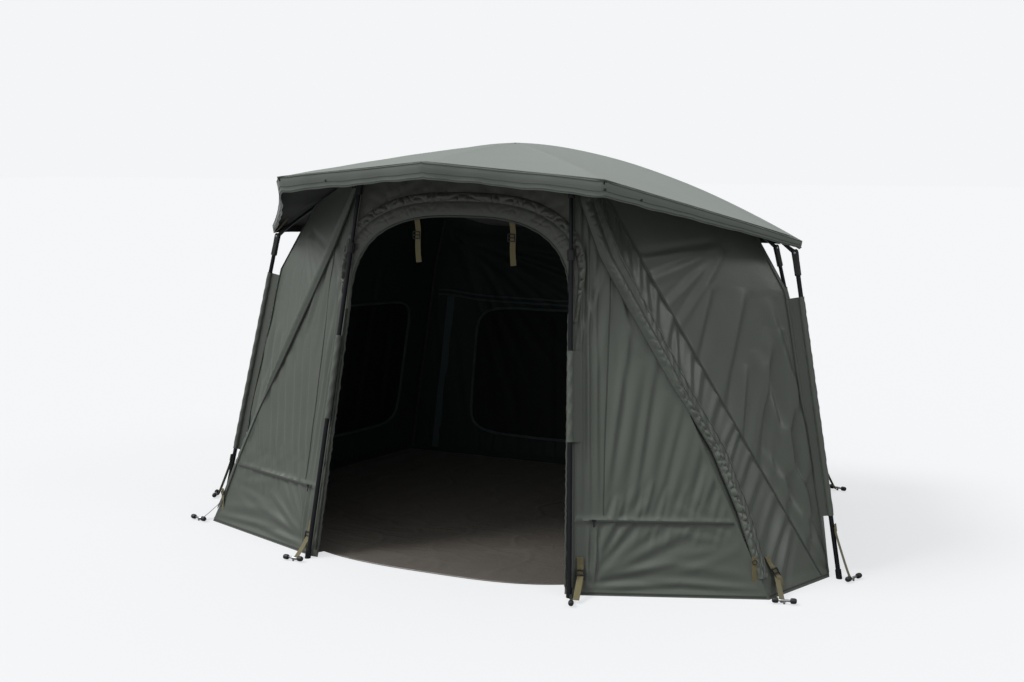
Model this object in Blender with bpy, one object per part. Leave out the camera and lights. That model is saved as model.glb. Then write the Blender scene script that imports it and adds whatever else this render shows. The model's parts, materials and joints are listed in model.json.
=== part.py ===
"""Two-person bivvy tent, pitched: hub, arched spokes, hinged legs, roof, walls, straps and pegs.

Metres, +Z up, the door towards -Y, +X to the right of someone who faces the door.
"""

import math

import bmesh
import bpy
import numpy as np

MM = 0.001

# Clearance between pieces that touch or run in one another
CLEARANCE = 0.3 * MM

# Places of the feet, knuckles and roof tips: half width, distance behind the front feet, height
FRONT_FEET_Y = -0.9851
FRONT_FOOT_HALF = 0.599
CORNER_HALF = 1.314
CORNER_BACK = 0.293
SIDE_FOOT_HALF = 1.513
SIDE_FOOT_BACK = 0.660
REAR_FOOT_HALF = 1.211
REAR_FOOT_BACK = 2.012
HUB_BACK = 0.824
HUB_HEIGHT = 1.746
FRONT_KNUCKLE_HALF = 0.481
FRONT_KNUCKLE_BACK = 0.299
SIDE_KNUCKLE_HALF = 1.262
SIDE_KNUCKLE_BACK = 0.803
SIDE_KNUCKLE_HEIGHT = 1.303
REAR_KNUCKLE_HALF = 0.944
REAR_KNUCKLE_BACK = 1.863
REAR_KNUCKLE_HEIGHT = 1.243
PEAK_BACK = -0.059
PEAK_HEIGHT = 1.670
FRONT_TIP_HALF = 0.725
FRONT_TIP_BACK = 0.025
FRONT_TIP_HEIGHT = 1.604
TIP_OVER_KNUCKLE = 0.046
TIP_PAST_KNUCKLE = 0.024

# Roof cloth: bow of each rib, dip between ribs, cut-in of the edges, and the band that hangs from them
PEAK_BOW_SHARE = 1.20
FRONT_BOW_SHARE = 1.25
SIDE_BOW_SHARE = 1.76
REAR_BOW_SHARE = 1.65
PANEL_DIP = 0.012
EDGE_CUT_SHARE = 0.022
CLOTH = 0.0025
VALANCE_FRONT = 0.062
VALANCE_REST = 0.030
ROOF_RINGS = 12
ROOF_STEPS_PER_PANEL = 7

# Poles and their ends
POLE_R = 0.0095
INNER_POLE_R = 0.0080
SPOKE_R = 0.0070
POLE_SIDES = 12
SPOKE_SIDES = 8
SPOKE_UNDER_CLOTH = 0.0014
BOOT_R = 0.0125
BOOT_LENGTH = 0.038

# Knuckle: a tapered fork on the leg, a pin across it, and a flat eye on the spoke
FORK_LENGTH = 0.095
FORK_TOP = 0.014
FORK_DEPTH = 0.028
FORK_WIDTH = 0.020
FORK_END_R = 0.0125
SLOT_DEPTH = 0.038
CHEEK_LEAST = 0.0016
EYE_THICKNESS = 0.008
EYE_R = 0.009
EYE_REACH = 0.046
EYE_OVERLAP = 0.018
SPOKE_LEAVES_SHARE = 0.72
HANGER_DROP = 0.028
PIN_R = 0.003
POLE_INSERTION = 0.040

# Telescopic front legs with a twist lock
LOCK_BELOW_KNUCKLE = 0.300
LOCK_LENGTH = 0.044
LOCK_R = 0.0140
LOCK_RIB = 0.0012
LOCK_GRIP = 0.024
INNER_LENGTH_IN_TUBE = 0.260
TELESCOPE_TRAVEL = 0.160

# Hub
HUB_R = 0.046
HUB_THICKNESS = 0.026
HUB_CROWN_R = 0.016
HUB_UNDER_ROOF = 0.0022
HUB_PIN_R = 0.034
HUB_SLOT_IN = 0.014
HUB_EYE_REACH = 0.034

# Walls: distance behind the front legs, inside the side and rear legs, and under the roof
WALL_SETBACK = 0.028
STANDOFF_FOOT = 0.040
STANDOFF_KNUCKLE = 0.056
WALL_THICKNESS_SHARE = 0.003
WALL_UNDER_ROOF = 0.020
CHOP_ALONG_EAVE = 0.150
CHOP_DOWN_LEG = 0.195
FLAP_TOP_SHARE = 0.055
SEAM_TOP_SHARE = 0.115
SEAM_FOOT_SHARE = 0.90
FOLD_SHARE = 0.0085

# Doorway: a tapering opening with an arched top
DOOR_FOOT_HALF = 0.568
DOOR_SPRING_HALF = 0.500
DOOR_SPRING_HEIGHT = 1.050
DOOR_HEADER = 0.2417
DOOR_ARCH_POWER_SHARE = 2.8
ARCH_BAND_GAP = 0.014
ARCH_BAND_WIDTH = 0.052
ARCH_BAND_BULGE = 0.009
ARCH_BAND_CLEAR = CLEARANCE

# Gathered flap over the corner zip, from the door's top corner down to the ground corner
FLAP_ON_WING = 0.022
FLAP_ON_SIDE = 0.066
FLAP_TOP_NARROW_SHARE = 0.35
FLAP_FOOT_NARROW_SHARE = 0.72
FLAP_CLEAR = CLEARANCE * 1.4
FLAP_CLOTH = 0.0028
FLAP_BULGE = 0.006
FLAP_FOOT_SHARE = 0.090
FLAP_HEAD_SHARE = 0.955

# Sleeves that hold the legs to the walls: wall thickness and the heights they reach
SLEEVE_CLOTH = 0.0026
SLEEVE_FIN = 0.0024
FRONT_SLEEVE_LOW = 0.590
FRONT_SLEEVE_HIGH = 0.940
SIDE_SLEEVE_LOW = 0.250
SIDE_SLEEVE_HIGH = 1.090
REAR_SLEEVE_LOW = 0.250
REAR_SLEEVE_HIGH = 1.010
SLEEVE_ROWS = 7

# Groundsheet
SHEET_THICKNESS = 0.003
SHEET_FRONT_BACK = 0.034
SHEET_FRONT_CURVE = 0.115
SHEET_FRONT_HALF = 0.545
SHEET_GAP_SHARE = 0.0016

# Door straps
DOOR_STRAP_PLACE = 0.218
DOOR_STRAP_WIDTH = 0.025
DOOR_STRAP_CLOTH = 0.0020
DOOR_STRAP_OVER_CROWN = 0.024
DOOR_STRAP_LENGTH = 0.218
SLIDER_BELOW_TOP = 0.104
SLIDER_LENGTH = 0.026
SLIDER_EXTRA = 0.004

# Window zip runners on the front wings
ZIP_HEIGHT = 0.285
ZIP_START = 0.085
ZIP_LENGTH = 0.016
ZIP_BODY = 0.010
ZIP_THICKNESS = 0.0045
ZIP_TAB_LENGTH = 0.026
ZIP_TAB_WIDTH = 0.005
ZIP_TAB_THICKNESS = 0.0016

# Pegs with a cross handle, standing in their straps' loops
PEG_SHAFT_R = 0.0042
PEG_HANDLE_R = 0.0050
PEG_HANDLE_LENGTH = 0.094
PEG_KNOB_R = 0.0105
PEG_KNOB_LENGTH = 0.024
PEG_HANDLE_HEIGHT = 0.0145
PEG_SIDES = 10

# Ground straps with a ladder buckle
STRAP_WIDTH = 0.025
STRAP_CLOTH = 0.0020
BUCKLE_WIDTH = 0.033
BUCKLE_THICKNESS = 0.0065
BUCKLE_LENGTH = 0.030
STRAP_TOP_HEIGHT = 0.145
BUCKLE_HEIGHT = 0.080
STRAP_FOOT_HEIGHT = 0.006
CORNER_STRAP_PLACE = 0.095
LEG_STRAP_HEIGHT = 0.205

SIDES = (("l", -1), ("r", 1))


def clear_scene():
    """Remove what the scene holds before the tent is built."""
    for item in list(bpy.data.objects):
        bpy.data.objects.remove(item, do_unlink=True)


def finish(name, color, roughness, metallic=0.0):
    """One material with the piece's colour, roughness and metallic value."""
    material = bpy.data.materials.new(name)
    material.use_nodes = True
    shader = material.node_tree.nodes["Principled BSDF"]
    shader.inputs["Base Color"].default_value = (*color, 1)
    shader.inputs["Roughness"].default_value = roughness
    shader.inputs["Metallic"].default_value = metallic
    return material


def lerp(a, b, share):
    return a + (b - a) * share


def unit(vector):
    vector = np.asarray(vector, dtype=float)
    return vector / np.linalg.norm(vector)


# Named places
def place(half, back, height, side=1):
    """A point from its half width, its distance behind the front feet, and its height."""
    return np.array([side * half, FRONT_FEET_Y + back, height], dtype=float)


HUB_PLAN = place(0, HUB_BACK, 0)
FEET = {
    "front": (FRONT_FOOT_HALF, 0, 0),
    "side": (SIDE_FOOT_HALF, SIDE_FOOT_BACK, 0),
    "rear": (REAR_FOOT_HALF, REAR_FOOT_BACK, 0),
}
STATIONS = ("front", "side", "rear")


def toward_hub(point, distance):
    """A point moved level towards the hub's upright axis."""
    inward = HUB_PLAN - point
    inward[2] = 0
    return point + unit(inward) * distance


def rib_tips():
    """Each rib's end and bow, counted round from the front peak over the right side."""
    side = toward_hub(place(SIDE_KNUCKLE_HALF, SIDE_KNUCKLE_BACK, SIDE_KNUCKLE_HEIGHT), -TIP_PAST_KNUCKLE)
    rear = toward_hub(place(REAR_KNUCKLE_HALF, REAR_KNUCKLE_BACK, REAR_KNUCKLE_HEIGHT), -TIP_PAST_KNUCKLE)
    side[2] += TIP_OVER_KNUCKLE
    rear[2] += TIP_OVER_KNUCKLE
    front = place(FRONT_TIP_HALF, FRONT_TIP_BACK, FRONT_TIP_HEIGHT)
    peak = place(0, PEAK_BACK, PEAK_HEIGHT)
    mirror = np.array([-1, 1, 1])
    return [
        (peak, PEAK_BOW_SHARE, VALANCE_FRONT),
        (front, FRONT_BOW_SHARE, VALANCE_FRONT),
        (side, SIDE_BOW_SHARE, VALANCE_REST),
        (rear, REAR_BOW_SHARE, VALANCE_REST),
        (rear * mirror, REAR_BOW_SHARE, VALANCE_REST),
        (side * mirror, SIDE_BOW_SHARE, VALANCE_REST),
        (front * mirror, FRONT_BOW_SHARE, VALANCE_FRONT),
    ]


RIBS = rib_tips()
RIB_OF = {
    ("front", 1): 1,
    ("side", 1): 2,
    ("rear", 1): 3,
    ("rear", -1): 4,
    ("side", -1): 5,
    ("front", -1): 6,
}


def roof_shares():
    """Shares of the way out at which the roof and the spokes have a ring, closer together at the hub."""
    return [(i / ROOF_RINGS) ** 1.25 for i in range(1, ROOF_RINGS + 1)]


def rib_height(rib, reach):
    """Height of the roof's underside along a rib: it falls by a power of the share of the way out."""
    tip, bow, _ = RIBS[rib]
    return HUB_HEIGHT - (HUB_HEIGHT - tip[2]) * reach**bow


def panel_dip(out, across):
    """Sag of the cloth between two ribs, greatest two thirds of the way out."""
    return PANEL_DIP * 27 * across * (1 - across) * out**2 * (1 - out)


def roof_place(panel, reach, across):
    """Underside of the roof in a panel, reach 0 to 1 from the hub out, across 0 to 1 from rib to rib."""
    after = (panel + 1) % len(RIBS)
    a = RIBS[panel][0] - HUB_PLAN
    b = RIBS[after][0] - HUB_PLAN
    middle = 4 * across * (1 - across)
    out = reach * (1 - EDGE_CUT_SHARE * middle)
    point = HUB_PLAN + out * lerp(a, b, across)
    point[2] = lerp(rib_height(panel, out), rib_height(after, out), across) - panel_dip(out, across)
    return point


def roof_height(x, y):
    """Height of the roof's underside over a place in the plan."""
    target = np.array([x, y]) - HUB_PLAN[:2]
    best = None
    for panel in range(len(RIBS)):
        after = (panel + 1) % len(RIBS)
        sides = np.column_stack([RIBS[panel][0][:2] - HUB_PLAN[:2], RIBS[after][0][:2] - HUB_PLAN[:2]])
        shares = np.linalg.solve(sides, target)
        if best is None or shares.min() > best[0]:
            best = (shares.min(), panel, after, shares)
    _, panel, after, shares = best
    out = float(shares.sum())
    across = float(shares[1]) / out
    return lerp(rib_height(panel, out), rib_height(after, out), across) - panel_dip(out, across)


# Mesh helpers
def add_object(name, mesh, material):
    piece = bpy.data.objects.new(name, mesh)
    bpy.context.scene.collection.objects.link(piece)
    mesh.materials.clear()
    mesh.materials.append(material)
    return piece


def solid(name, points, faces, material, smooth=True):
    """A closed body from points and faces, with every face turned outwards."""
    mesh = bpy.data.meshes.new(name)
    mesh.from_pydata([tuple(float(c) for c in p) for p in points], [], faces)
    work = bmesh.new()
    work.from_mesh(mesh)
    bmesh.ops.recalc_face_normals(work, faces=work.faces)
    work.to_mesh(mesh)
    work.free()
    if smooth:
        mesh.shade_smooth()
        mesh.set_sharp_from_angle(angle=math.radians(38))
    return add_object(name, mesh, material)


def grid_faces(rows, columns, start, around=False):
    """Triangle pairs of a grid of points counted row by row, all split the same way."""
    last = columns if around else columns - 1
    faces = []
    for i in range(rows - 1):
        for j in range(last):
            after = (j + 1) % columns
            a = start + i * columns + j
            b = start + i * columns + after
            faces.append((a, b, b + columns))
            faces.append((a, b + columns, a + columns))
    return faces


def sheet(name, outer, inner, material):
    """Closed body between two like grids, each of shape rows by columns by three."""
    rows, columns = outer.shape[:2]
    count = rows * columns
    points = np.concatenate([outer.reshape(-1, 3), inner.reshape(-1, 3)])
    faces = grid_faces(rows, columns, 0)
    faces += [tuple(reversed(f)) for f in grid_faces(rows, columns, count)]
    for j in range(columns - 1):
        low = j
        high = (rows - 1) * columns + j
        faces.append((low + 1, low, low + count, low + 1 + count))
        faces.append((high, high + 1, high + 1 + count, high + count))
    for i in range(rows - 1):
        left = i * columns
        right = left + columns - 1
        faces.append((left, left + columns, left + columns + count, left + count))
        faces.append((right + columns, right, right + count, right + columns + count))
    return solid(name, points, faces, material)


def section_frame(direction, hint):
    """Two unit vectors square to a direction, the second near the hint."""
    direction = unit(direction)
    first = unit(np.cross(hint, direction))
    return first, np.cross(direction, first)


def ring(center, first, second, radius, sides, turn=0.0):
    """Points of a circle round a centre."""
    angles = turn + 2 * math.pi * np.arange(sides) / sides
    return center + radius * (np.outer(np.cos(angles), first) + np.outer(np.sin(angles), second))


def loft(name, rings, material, smooth=True):
    """Closed body through rings of like point counts, with flat ends."""
    sides = len(rings[0])
    points = np.concatenate(rings)
    faces = grid_faces(len(rings), sides, 0, around=True)
    faces.append(tuple(reversed(range(sides))))
    last = (len(rings) - 1) * sides
    faces.append(tuple(last + j for j in range(sides)))
    return solid(name, points, faces, material, smooth)


def turned(name, base, axis, hint, profile, sides, material, ribs=0.0):
    """Closed ring-shaped body: a closed profile of radius and distance, turned about an axis."""
    first, second = section_frame(axis, hint)
    axis = unit(axis)
    angles = 2 * math.pi * np.arange(sides) / sides
    points = []
    outer = max(r for r, _ in profile)
    for radius, along in profile:
        bumps = ribs * (np.arange(sides) % 2) * (radius == outer)
        spokes = np.outer(np.cos(angles), first) + np.outer(np.sin(angles), second)
        points.append(base + axis * along + spokes * (radius + bumps)[:, None])
    points.append(points[0])
    rows = len(points)
    faces = grid_faces(rows, sides, 0, around=True)
    wrap = (rows - 1) * sides
    faces = [tuple(i - wrap if i >= wrap else i for i in f) for f in faces]
    return solid(name, np.concatenate(points[:-1]), faces, material)


def rod(name, start, end, radius, sides, material, hint=(0, 1, 0)):
    """Plain round bar between two points."""
    first, second = section_frame(end - start, hint)
    return loft(name, [ring(p, first, second, radius, sides) for p in (start, end)], material)


def plate(name, outline, origin, across, up, thickness, material):
    """Flat plate: an outline in two directions, centred on its plane."""
    normal = unit(np.cross(across, up))
    flat = np.array([origin + across * u + up * v for u, v in outline])
    rings = [flat - normal * thickness / 2, flat + normal * thickness / 2]
    return loft(name, rings, material, smooth=False)


def combine(piece, tool, operation):
    """Join a tool to a piece or cut it out, and remove the tool."""
    step = piece.modifiers.new(operation, "BOOLEAN")
    step.operation = operation
    step.solver = "EXACT"
    step.object = tool
    bpy.context.view_layer.update()
    made = bpy.data.meshes.new_from_object(piece.evaluated_get(bpy.context.evaluated_depsgraph_get()))
    piece.modifiers.clear()
    material = piece.data.materials[0]
    piece.data = made
    made.materials.clear()
    made.materials.append(material)
    bpy.data.objects.remove(tool, do_unlink=True)
    return piece


def bore_radius(shaft, sides):
    """Radius of a faceted bore that clears a round shaft."""
    return (shaft + CLEARANCE) / math.cos(math.pi / sides)


# Frame: the axes of its pins
def rib_axes(station, side):
    """Pin axis square to a rib and the inward direction along it, both level."""
    tip = RIBS[RIB_OF[station, side]][0]
    inward = HUB_PLAN - tip
    inward[2] = 0
    inward = unit(inward)
    pin_axis = np.cross(np.array([0, 0, -1.0]), inward)
    return pin_axis, inward


def leg_pin_axis(station, side):
    """Level axis that a leg folds about: along X at the front, square to its rib elsewhere."""
    if station == "front":
        return np.array([1.0, 0, 0])
    return rib_axes(station, side)[0]


def spoke_reaches(station, side):
    """Shares of the way out where the spoke has a ring, and the last of them."""
    tip = RIBS[RIB_OF[station, side]][0]
    span = np.linalg.norm((tip - HUB_PLAN)[:2])
    start = (HUB_PIN_R + HUB_EYE_REACH) / span
    if station == "front":
        end = 1 - POLE_R / span
    else:
        end = 1 - (TIP_PAST_KNUCKLE + EYE_REACH) / span
    return [start] + [s for s in roof_shares() if start * 1.3 < s < end * 0.985] + [end]


def spoke_center(station, side, reach):
    """Centre of the spoke's tube under the roof, at a share of the way out."""
    rib = RIB_OF[station, side]
    tip = RIBS[rib][0]
    point = HUB_PLAN + reach * (tip - HUB_PLAN)
    step_share = 0.001
    span = np.linalg.norm((tip - HUB_PLAN)[:2])
    rise = rib_height(rib, reach + step_share) - rib_height(rib, reach - step_share)
    slope = rise / (2 * step_share * span)
    lift = (SPOKE_R + SPOKE_UNDER_CLOTH) * math.hypot(1, slope)
    point[2] = rib_height(rib, reach) - lift
    if station != "front" and reach > SPOKE_LEAVES_SHARE:
        pin_share = 1 - TIP_PAST_KNUCKLE / span
        turn = (reach - SPOKE_LEAVES_SHARE) / (pin_share - SPOKE_LEAVES_SHARE)
        drop = rib_height(rib, pin_share) - lift - knuckle(station, side)[2]
        point[2] -= drop * turn**1.6
    return point


def front_knuckle(side):
    """Pin of a front leg, under the spoke that it hangs from."""
    tip = RIBS[RIB_OF["front", side]][0]
    along = (tip - HUB_PLAN)[:2]
    wanted = place(FRONT_KNUCKLE_HALF, FRONT_KNUCKLE_BACK, 0, side) - HUB_PLAN
    reach = float(wanted[:2] @ along / (along @ along))
    pin = spoke_center("front", side, reach)
    pin[2] -= HANGER_DROP
    return pin, reach


def knuckle(station, side):
    if station == "front":
        return front_knuckle(side)[0]
    if station == "side":
        return place(SIDE_KNUCKLE_HALF, SIDE_KNUCKLE_BACK, SIDE_KNUCKLE_HEIGHT, side)
    return place(REAR_KNUCKLE_HALF, REAR_KNUCKLE_BACK, REAR_KNUCKLE_HEIGHT, side)


def foot(station, side):
    return place(*FEET[station], side)


def eye_outline(reach, half):
    """Round end about the pin and a straight bar that runs back from it."""
    angles = np.linspace(-math.pi / 2, math.pi / 2, 9)
    round_end = [(EYE_R * math.cos(a), EYE_R * math.sin(a)) for a in angles]
    return round_end + [(-reach, half), (-reach, -half)]


def add_eye(piece, pin, toward, pin_axis, reach, half, material):
    """Weld an eye to a tube's end: a plate from the pin back along the tube, with the pin's hole."""
    toward = unit(toward)
    up = np.cross(pin_axis, toward)
    eye = plate("eye", eye_outline(reach, half), pin, -toward, up, EYE_THICKNESS, material)
    combine(piece, eye, "UNION")
    reach_across = pin_axis * EYE_THICKNESS
    hole_r = bore_radius(PIN_R, POLE_SIDES)
    hole = rod("hole", pin - reach_across, pin + reach_across, hole_r, POLE_SIDES, material, toward)
    return combine(piece, hole, "DIFFERENCE")


def hub_drop(radius):
    """How far the hub lies below the roof's peak at a radius, so that it clears the steepest rib."""
    drops = []
    first_share = roof_shares()[0]
    for rib, (tip, _, _) in enumerate(RIBS):
        share = radius / np.linalg.norm((tip - HUB_PLAN)[:2])
        falling = max(share, first_share)
        drops.append((HUB_HEIGHT - rib_height(rib, falling)) * share / falling)
    return max(drops) + HUB_UNDER_ROOF * radius / HUB_R


def hub_pin(station, side):
    """Where a spoke is pinned in the hub."""
    _, inward = rib_axes(station, side)
    point = HUB_PLAN - inward * HUB_PIN_R
    point[2] = HUB_HEIGHT - hub_drop(HUB_R) - HUB_THICKNESS / 2
    return point


def make_spoke(station, tag, side, material):
    """Arched tube from the hub out, with a flat eye at each end that is pinned."""
    pin_axis, _ = rib_axes(station, side)
    reaches = spoke_reaches(station, side)
    centers = [spoke_center(station, side, r) for r in reaches]
    rings = []
    for i, center in enumerate(centers):
        ahead = centers[min(i + 1, len(centers) - 1)] - centers[max(i - 1, 0)]
        first, second = section_frame(ahead, pin_axis)
        rings.append(ring(center, first, second, SPOKE_R, SPOKE_SIDES, math.pi / SPOKE_SIDES))
    piece = loft(f"spoke_{station}_{tag}", rings, material)
    root = hub_pin(station, side)
    out = centers[0] - root
    half = SPOKE_R * 0.8
    add_eye(piece, root, out, pin_axis, np.linalg.norm(out) + EYE_OVERLAP / 4, SPOKE_R / 2, material)
    pin = knuckle(station, side)
    if station == "front":
        drop = np.array([0, 0, 1.0])
        add_eye(piece, pin, drop, leg_pin_axis(station, side), HANGER_DROP, EYE_R, material)
    else:
        back = centers[-1] - pin
        add_eye(piece, pin, back, pin_axis, np.linalg.norm(back) + EYE_OVERLAP, half, material)
    return piece


def fork_ring(center, first, second, half_a, half_b, sides=16):
    """Rounded-box outline with a superellipse of power four."""
    angles = 2 * math.pi * (np.arange(sides) + 0.5) / sides
    cos, sin = np.cos(angles), np.sin(angles)
    u = half_a * np.sign(cos) * np.abs(cos) ** 0.5
    v = half_b * np.sign(sin) * np.abs(sin) ** 0.5
    return center + np.outer(u, first) + np.outer(v, second)


def leg_axes(station, side):
    """Leg direction, pin axis, and the direction square to both that points inward."""
    pin, end = knuckle(station, side), foot(station, side)
    down = unit(end - pin)
    pin_axis = leg_pin_axis(station, side)
    inward = unit(np.cross(down, pin_axis))
    return pin, end, down, pin_axis, -inward


def make_fork(station, tag, side, pole, material):
    """Tapered moulded fork at the leg's top: slot for the eye, pin across it, bore for the pole."""
    pin, _, down, pin_axis, inward = leg_axes(station, side)
    tangent = np.cross(inward, down)
    slot_half = EYE_THICKNESS / 2 + CLEARANCE
    # The slot stays square to the pin, so a leaning fork is wide enough to keep both cheeks at its root.
    lean = abs(float(down @ pin_axis))
    root_half = max(FORK_WIDTH / 2 * 1.02, slot_half + lean * SLOT_DEPTH + CHEEK_LEAST)
    stations = (
        (-FORK_TOP, FORK_DEPTH / 2 * 0.62, FORK_WIDTH / 2 * 0.86),
        (-FORK_TOP * 0.55, FORK_DEPTH / 2 * 0.92, FORK_WIDTH / 2 * 0.97),
        (0, FORK_DEPTH / 2, FORK_WIDTH / 2),
        (SLOT_DEPTH, FORK_DEPTH / 2 * 0.93, root_half),
        (FORK_LENGTH * 0.96, FORK_END_R, FORK_END_R),
        (FORK_LENGTH, FORK_END_R * 0.94, FORK_END_R * 0.94),
    )
    rings = [fork_ring(pin + down * s, inward, tangent, a, b) for s, a, b in stations]
    piece = loft(f"knuckle_{station}_{tag}", rings, material)
    upright = unit(np.cross(inward, pin_axis))
    upright = upright if upright @ down < 0 else -upright
    wide = FORK_DEPTH
    high = FORK_TOP * 2
    box = [(-wide, -SLOT_DEPTH), (wide, -SLOT_DEPTH), (wide, high), (-wide, high)]
    slot = plate("slot", box, pin, inward, upright, 2 * slot_half, material)
    combine(piece, slot, "DIFFERENCE")
    bore_r = bore_radius(pole, POLE_SIDES)
    top = pin + down * (FORK_LENGTH - POLE_INSERTION)
    bore = rod("bore", top, pin + down * FORK_LENGTH * 1.2, bore_r, POLE_SIDES, material, pin_axis)
    combine(piece, bore, "DIFFERENCE")
    half = FORK_WIDTH / 2 * 0.85
    across = rod("pin", pin - pin_axis * half, pin + pin_axis * half, PIN_R, POLE_SIDES, material, -upright)
    return combine(piece, across, "UNION")


def flat_foot_rings(start, end, down, hint, radius):
    """Rings of a pole that widens to a boot, whose last ring lies level on the ground."""
    first, second = section_frame(down, hint)
    length = np.linalg.norm(end - start)
    marks = [
        (0, radius),
        (length - BOOT_LENGTH, radius),
        (length - BOOT_LENGTH + STRAP_CLOTH, BOOT_R),
        (length - BOOT_R, BOOT_R),
    ]
    rings = [ring(start + down * s, first, second, r, POLE_SIDES) for s, r in marks]
    last = ring(end, first, second, BOOT_R, POLE_SIDES)
    last = last - np.outer(last[:, 2] / down[2], down)
    return rings + [last]


def make_pole(name, station, side, material):
    """Straight leg from inside its fork to the boot on the ground."""
    pin, end, down, pin_axis, _ = leg_axes(station, side)
    start = pin + down * (FORK_LENGTH - POLE_INSERTION + CLEARANCE)
    return loft(name, flat_foot_rings(start, end, down, pin_axis, POLE_R), material)


def make_front_leg(tag, side, tube_material, lock_material):
    """Inner pole in the fork, twist lock, and the tube that slides over the pole."""
    pin, end, down, pin_axis, _ = leg_axes("front", side)
    first, second = section_frame(down, pin_axis)
    start = pin + down * (FORK_LENGTH - POLE_INSERTION + CLEARANCE)
    lock_top = pin + down * LOCK_BELOW_KNUCKLE
    tube_top = lock_top + down * (LOCK_LENGTH - LOCK_GRIP + CLEARANCE)
    stop = tube_top + down * INNER_LENGTH_IN_TUBE
    rings = [ring(p, first, second, INNER_POLE_R, POLE_SIDES) for p in (start, stop)]
    upper = loft(f"leg_front_upper_{tag}", rings, tube_material)
    lower = loft(
        f"leg_front_lower_{tag}",
        flat_foot_rings(tube_top, end, down, pin_axis, POLE_R),
        tube_material,
    )
    bore_r = bore_radius(INNER_POLE_R, POLE_SIDES)
    depth = INNER_LENGTH_IN_TUBE + TELESCOPE_TRAVEL + LOCK_LENGTH
    bore_rings = [
        ring(p, first, second, bore_r, POLE_SIDES)
        for p in (tube_top - down * LOCK_LENGTH, tube_top + down * depth)
    ]
    combine(lower, loft("bore", bore_rings, tube_material), "DIFFERENCE")
    grip_r = bore_radius(POLE_R, POLE_SIDES)
    profile = [
        (bore_r, 0),
        (LOCK_R - LOCK_RIB, 0),
        (LOCK_R, LOCK_RIB * 2),
        (LOCK_R, LOCK_LENGTH - LOCK_RIB * 2),
        (LOCK_R - LOCK_RIB, LOCK_LENGTH),
        (grip_r, LOCK_LENGTH),
        (grip_r, LOCK_LENGTH - LOCK_GRIP),
        (bore_r, LOCK_LENGTH - LOCK_GRIP),
    ]
    lock = turned(
        f"twist_lock_{tag}", lock_top, down, pin_axis, profile, 2 * POLE_SIDES, lock_material, LOCK_RIB
    )
    return upper, lower, lock


def make_hub(material):
    """Crowned disc with a slot and a pin for each spoke."""
    base = HUB_HEIGHT - hub_drop(HUB_R) - HUB_THICKNESS
    marks = (
        (base, HUB_R * 0.80),
        (base + HUB_THICKNESS * 0.18, HUB_R),
        (base + HUB_THICKNESS * 0.85, HUB_R),
        (base + HUB_THICKNESS, HUB_R * 0.86),
        (HUB_HEIGHT - hub_drop(HUB_CROWN_R) - CLEARANCE, HUB_CROWN_R),
        (HUB_HEIGHT - hub_drop(HUB_CROWN_R / 8) - CLEARANCE, HUB_CROWN_R / 8),
    )
    across, up = np.array([1.0, 0, 0]), np.array([0, 1.0, 0])
    rings = [ring(HUB_PLAN + np.array([0, 0, z]), across, up, r, 32) for z, r in marks]
    hub = loft("hub", rings, material)
    for station in STATIONS:
        for _, side in SIDES:
            _, inward = rib_axes(station, side)
            pin = hub_pin(station, side)
            slot_half = EYE_THICKNESS / 2 + CLEARANCE
            inner = HUB_PIN_R - HUB_SLOT_IN - EYE_R / 2
            deep = HUB_THICKNESS
            outline = [(-HUB_R, -deep), (inner, -deep), (inner, deep), (-HUB_R, deep)]
            cut = plate("slot", outline, pin, inward, np.array([0, 0, 1.0]), 2 * slot_half, material)
            combine(hub, cut, "DIFFERENCE")
    for station in STATIONS:
        for _, side in SIDES:
            pin_axis, inward = rib_axes(station, side)
            pin = hub_pin(station, side)
            half = pin_axis * EYE_THICKNESS
            bar = rod("pin", pin - half, pin + half, PIN_R, POLE_SIDES, material, inward)
            combine(hub, bar, "UNION")
    return hub


def make_roof(material):
    """One sewn sheet over all ribs, with the band that hangs from its edge."""
    shares = np.array(roof_shares())
    bands = (0.5, 1.0)
    count = len(RIBS)
    inner, outer = [], []
    lift = np.array([0, 0, CLOTH])
    for reach in shares:
        low, high = [], []
        for panel in range(count):
            for step in range(ROOF_STEPS_PER_PANEL):
                point = roof_place(panel, reach, step / ROOF_STEPS_PER_PANEL)
                away = unit((point - HUB_PLAN) * np.array([1, 1, 0]))
                low.append(point)
                high.append(point + lift + away * CLOTH * (reach == 1))
        inner.append(low)
        outer.append(high)
    edge_low, edge_high = np.array(inner[-1]), np.array(outer[-1])
    drops = []
    for panel in range(count):
        for step in range(ROOF_STEPS_PER_PANEL):
            share = step / ROOF_STEPS_PER_PANEL
            drops.append(lerp(RIBS[panel][2], RIBS[(panel + 1) % count][2], share))
    drops = np.outer(drops, [0, 0, 1.0])
    for band in bands:
        inner.append(edge_low - drops * band)
        outer.append(edge_high - lift - drops * band)
    columns = count * ROOF_STEPS_PER_PANEL
    rows = len(outer)
    outer, inner = np.array(outer), np.array(inner)
    peak = HUB_PLAN + np.array([0, 0, HUB_HEIGHT])
    points = np.concatenate([outer.reshape(-1, 3), inner.reshape(-1, 3), [peak + lift, peak]])
    half = rows * columns
    faces = grid_faces(rows, columns, 0, around=True)
    faces += [tuple(reversed(f)) for f in grid_faces(rows, columns, half, around=True)]
    top, under = 2 * half, 2 * half + 1
    last = (rows - 1) * columns
    for j in range(columns):
        after = (j + 1) % columns
        faces.append((top, after, j))
        faces.append((under, half + j, half + after))
        faces.append((last + j, last + after, half + last + after, half + last + j))
    return solid("roof", points, faces, material)


# Walls: the lines along which the panels are sewn
def below_roof(point):
    """The same place in the plan, just under the roof."""
    lowered = point.copy()
    lowered[2] = roof_height(point[0], point[1]) - WALL_UNDER_ROOF
    return lowered


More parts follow.
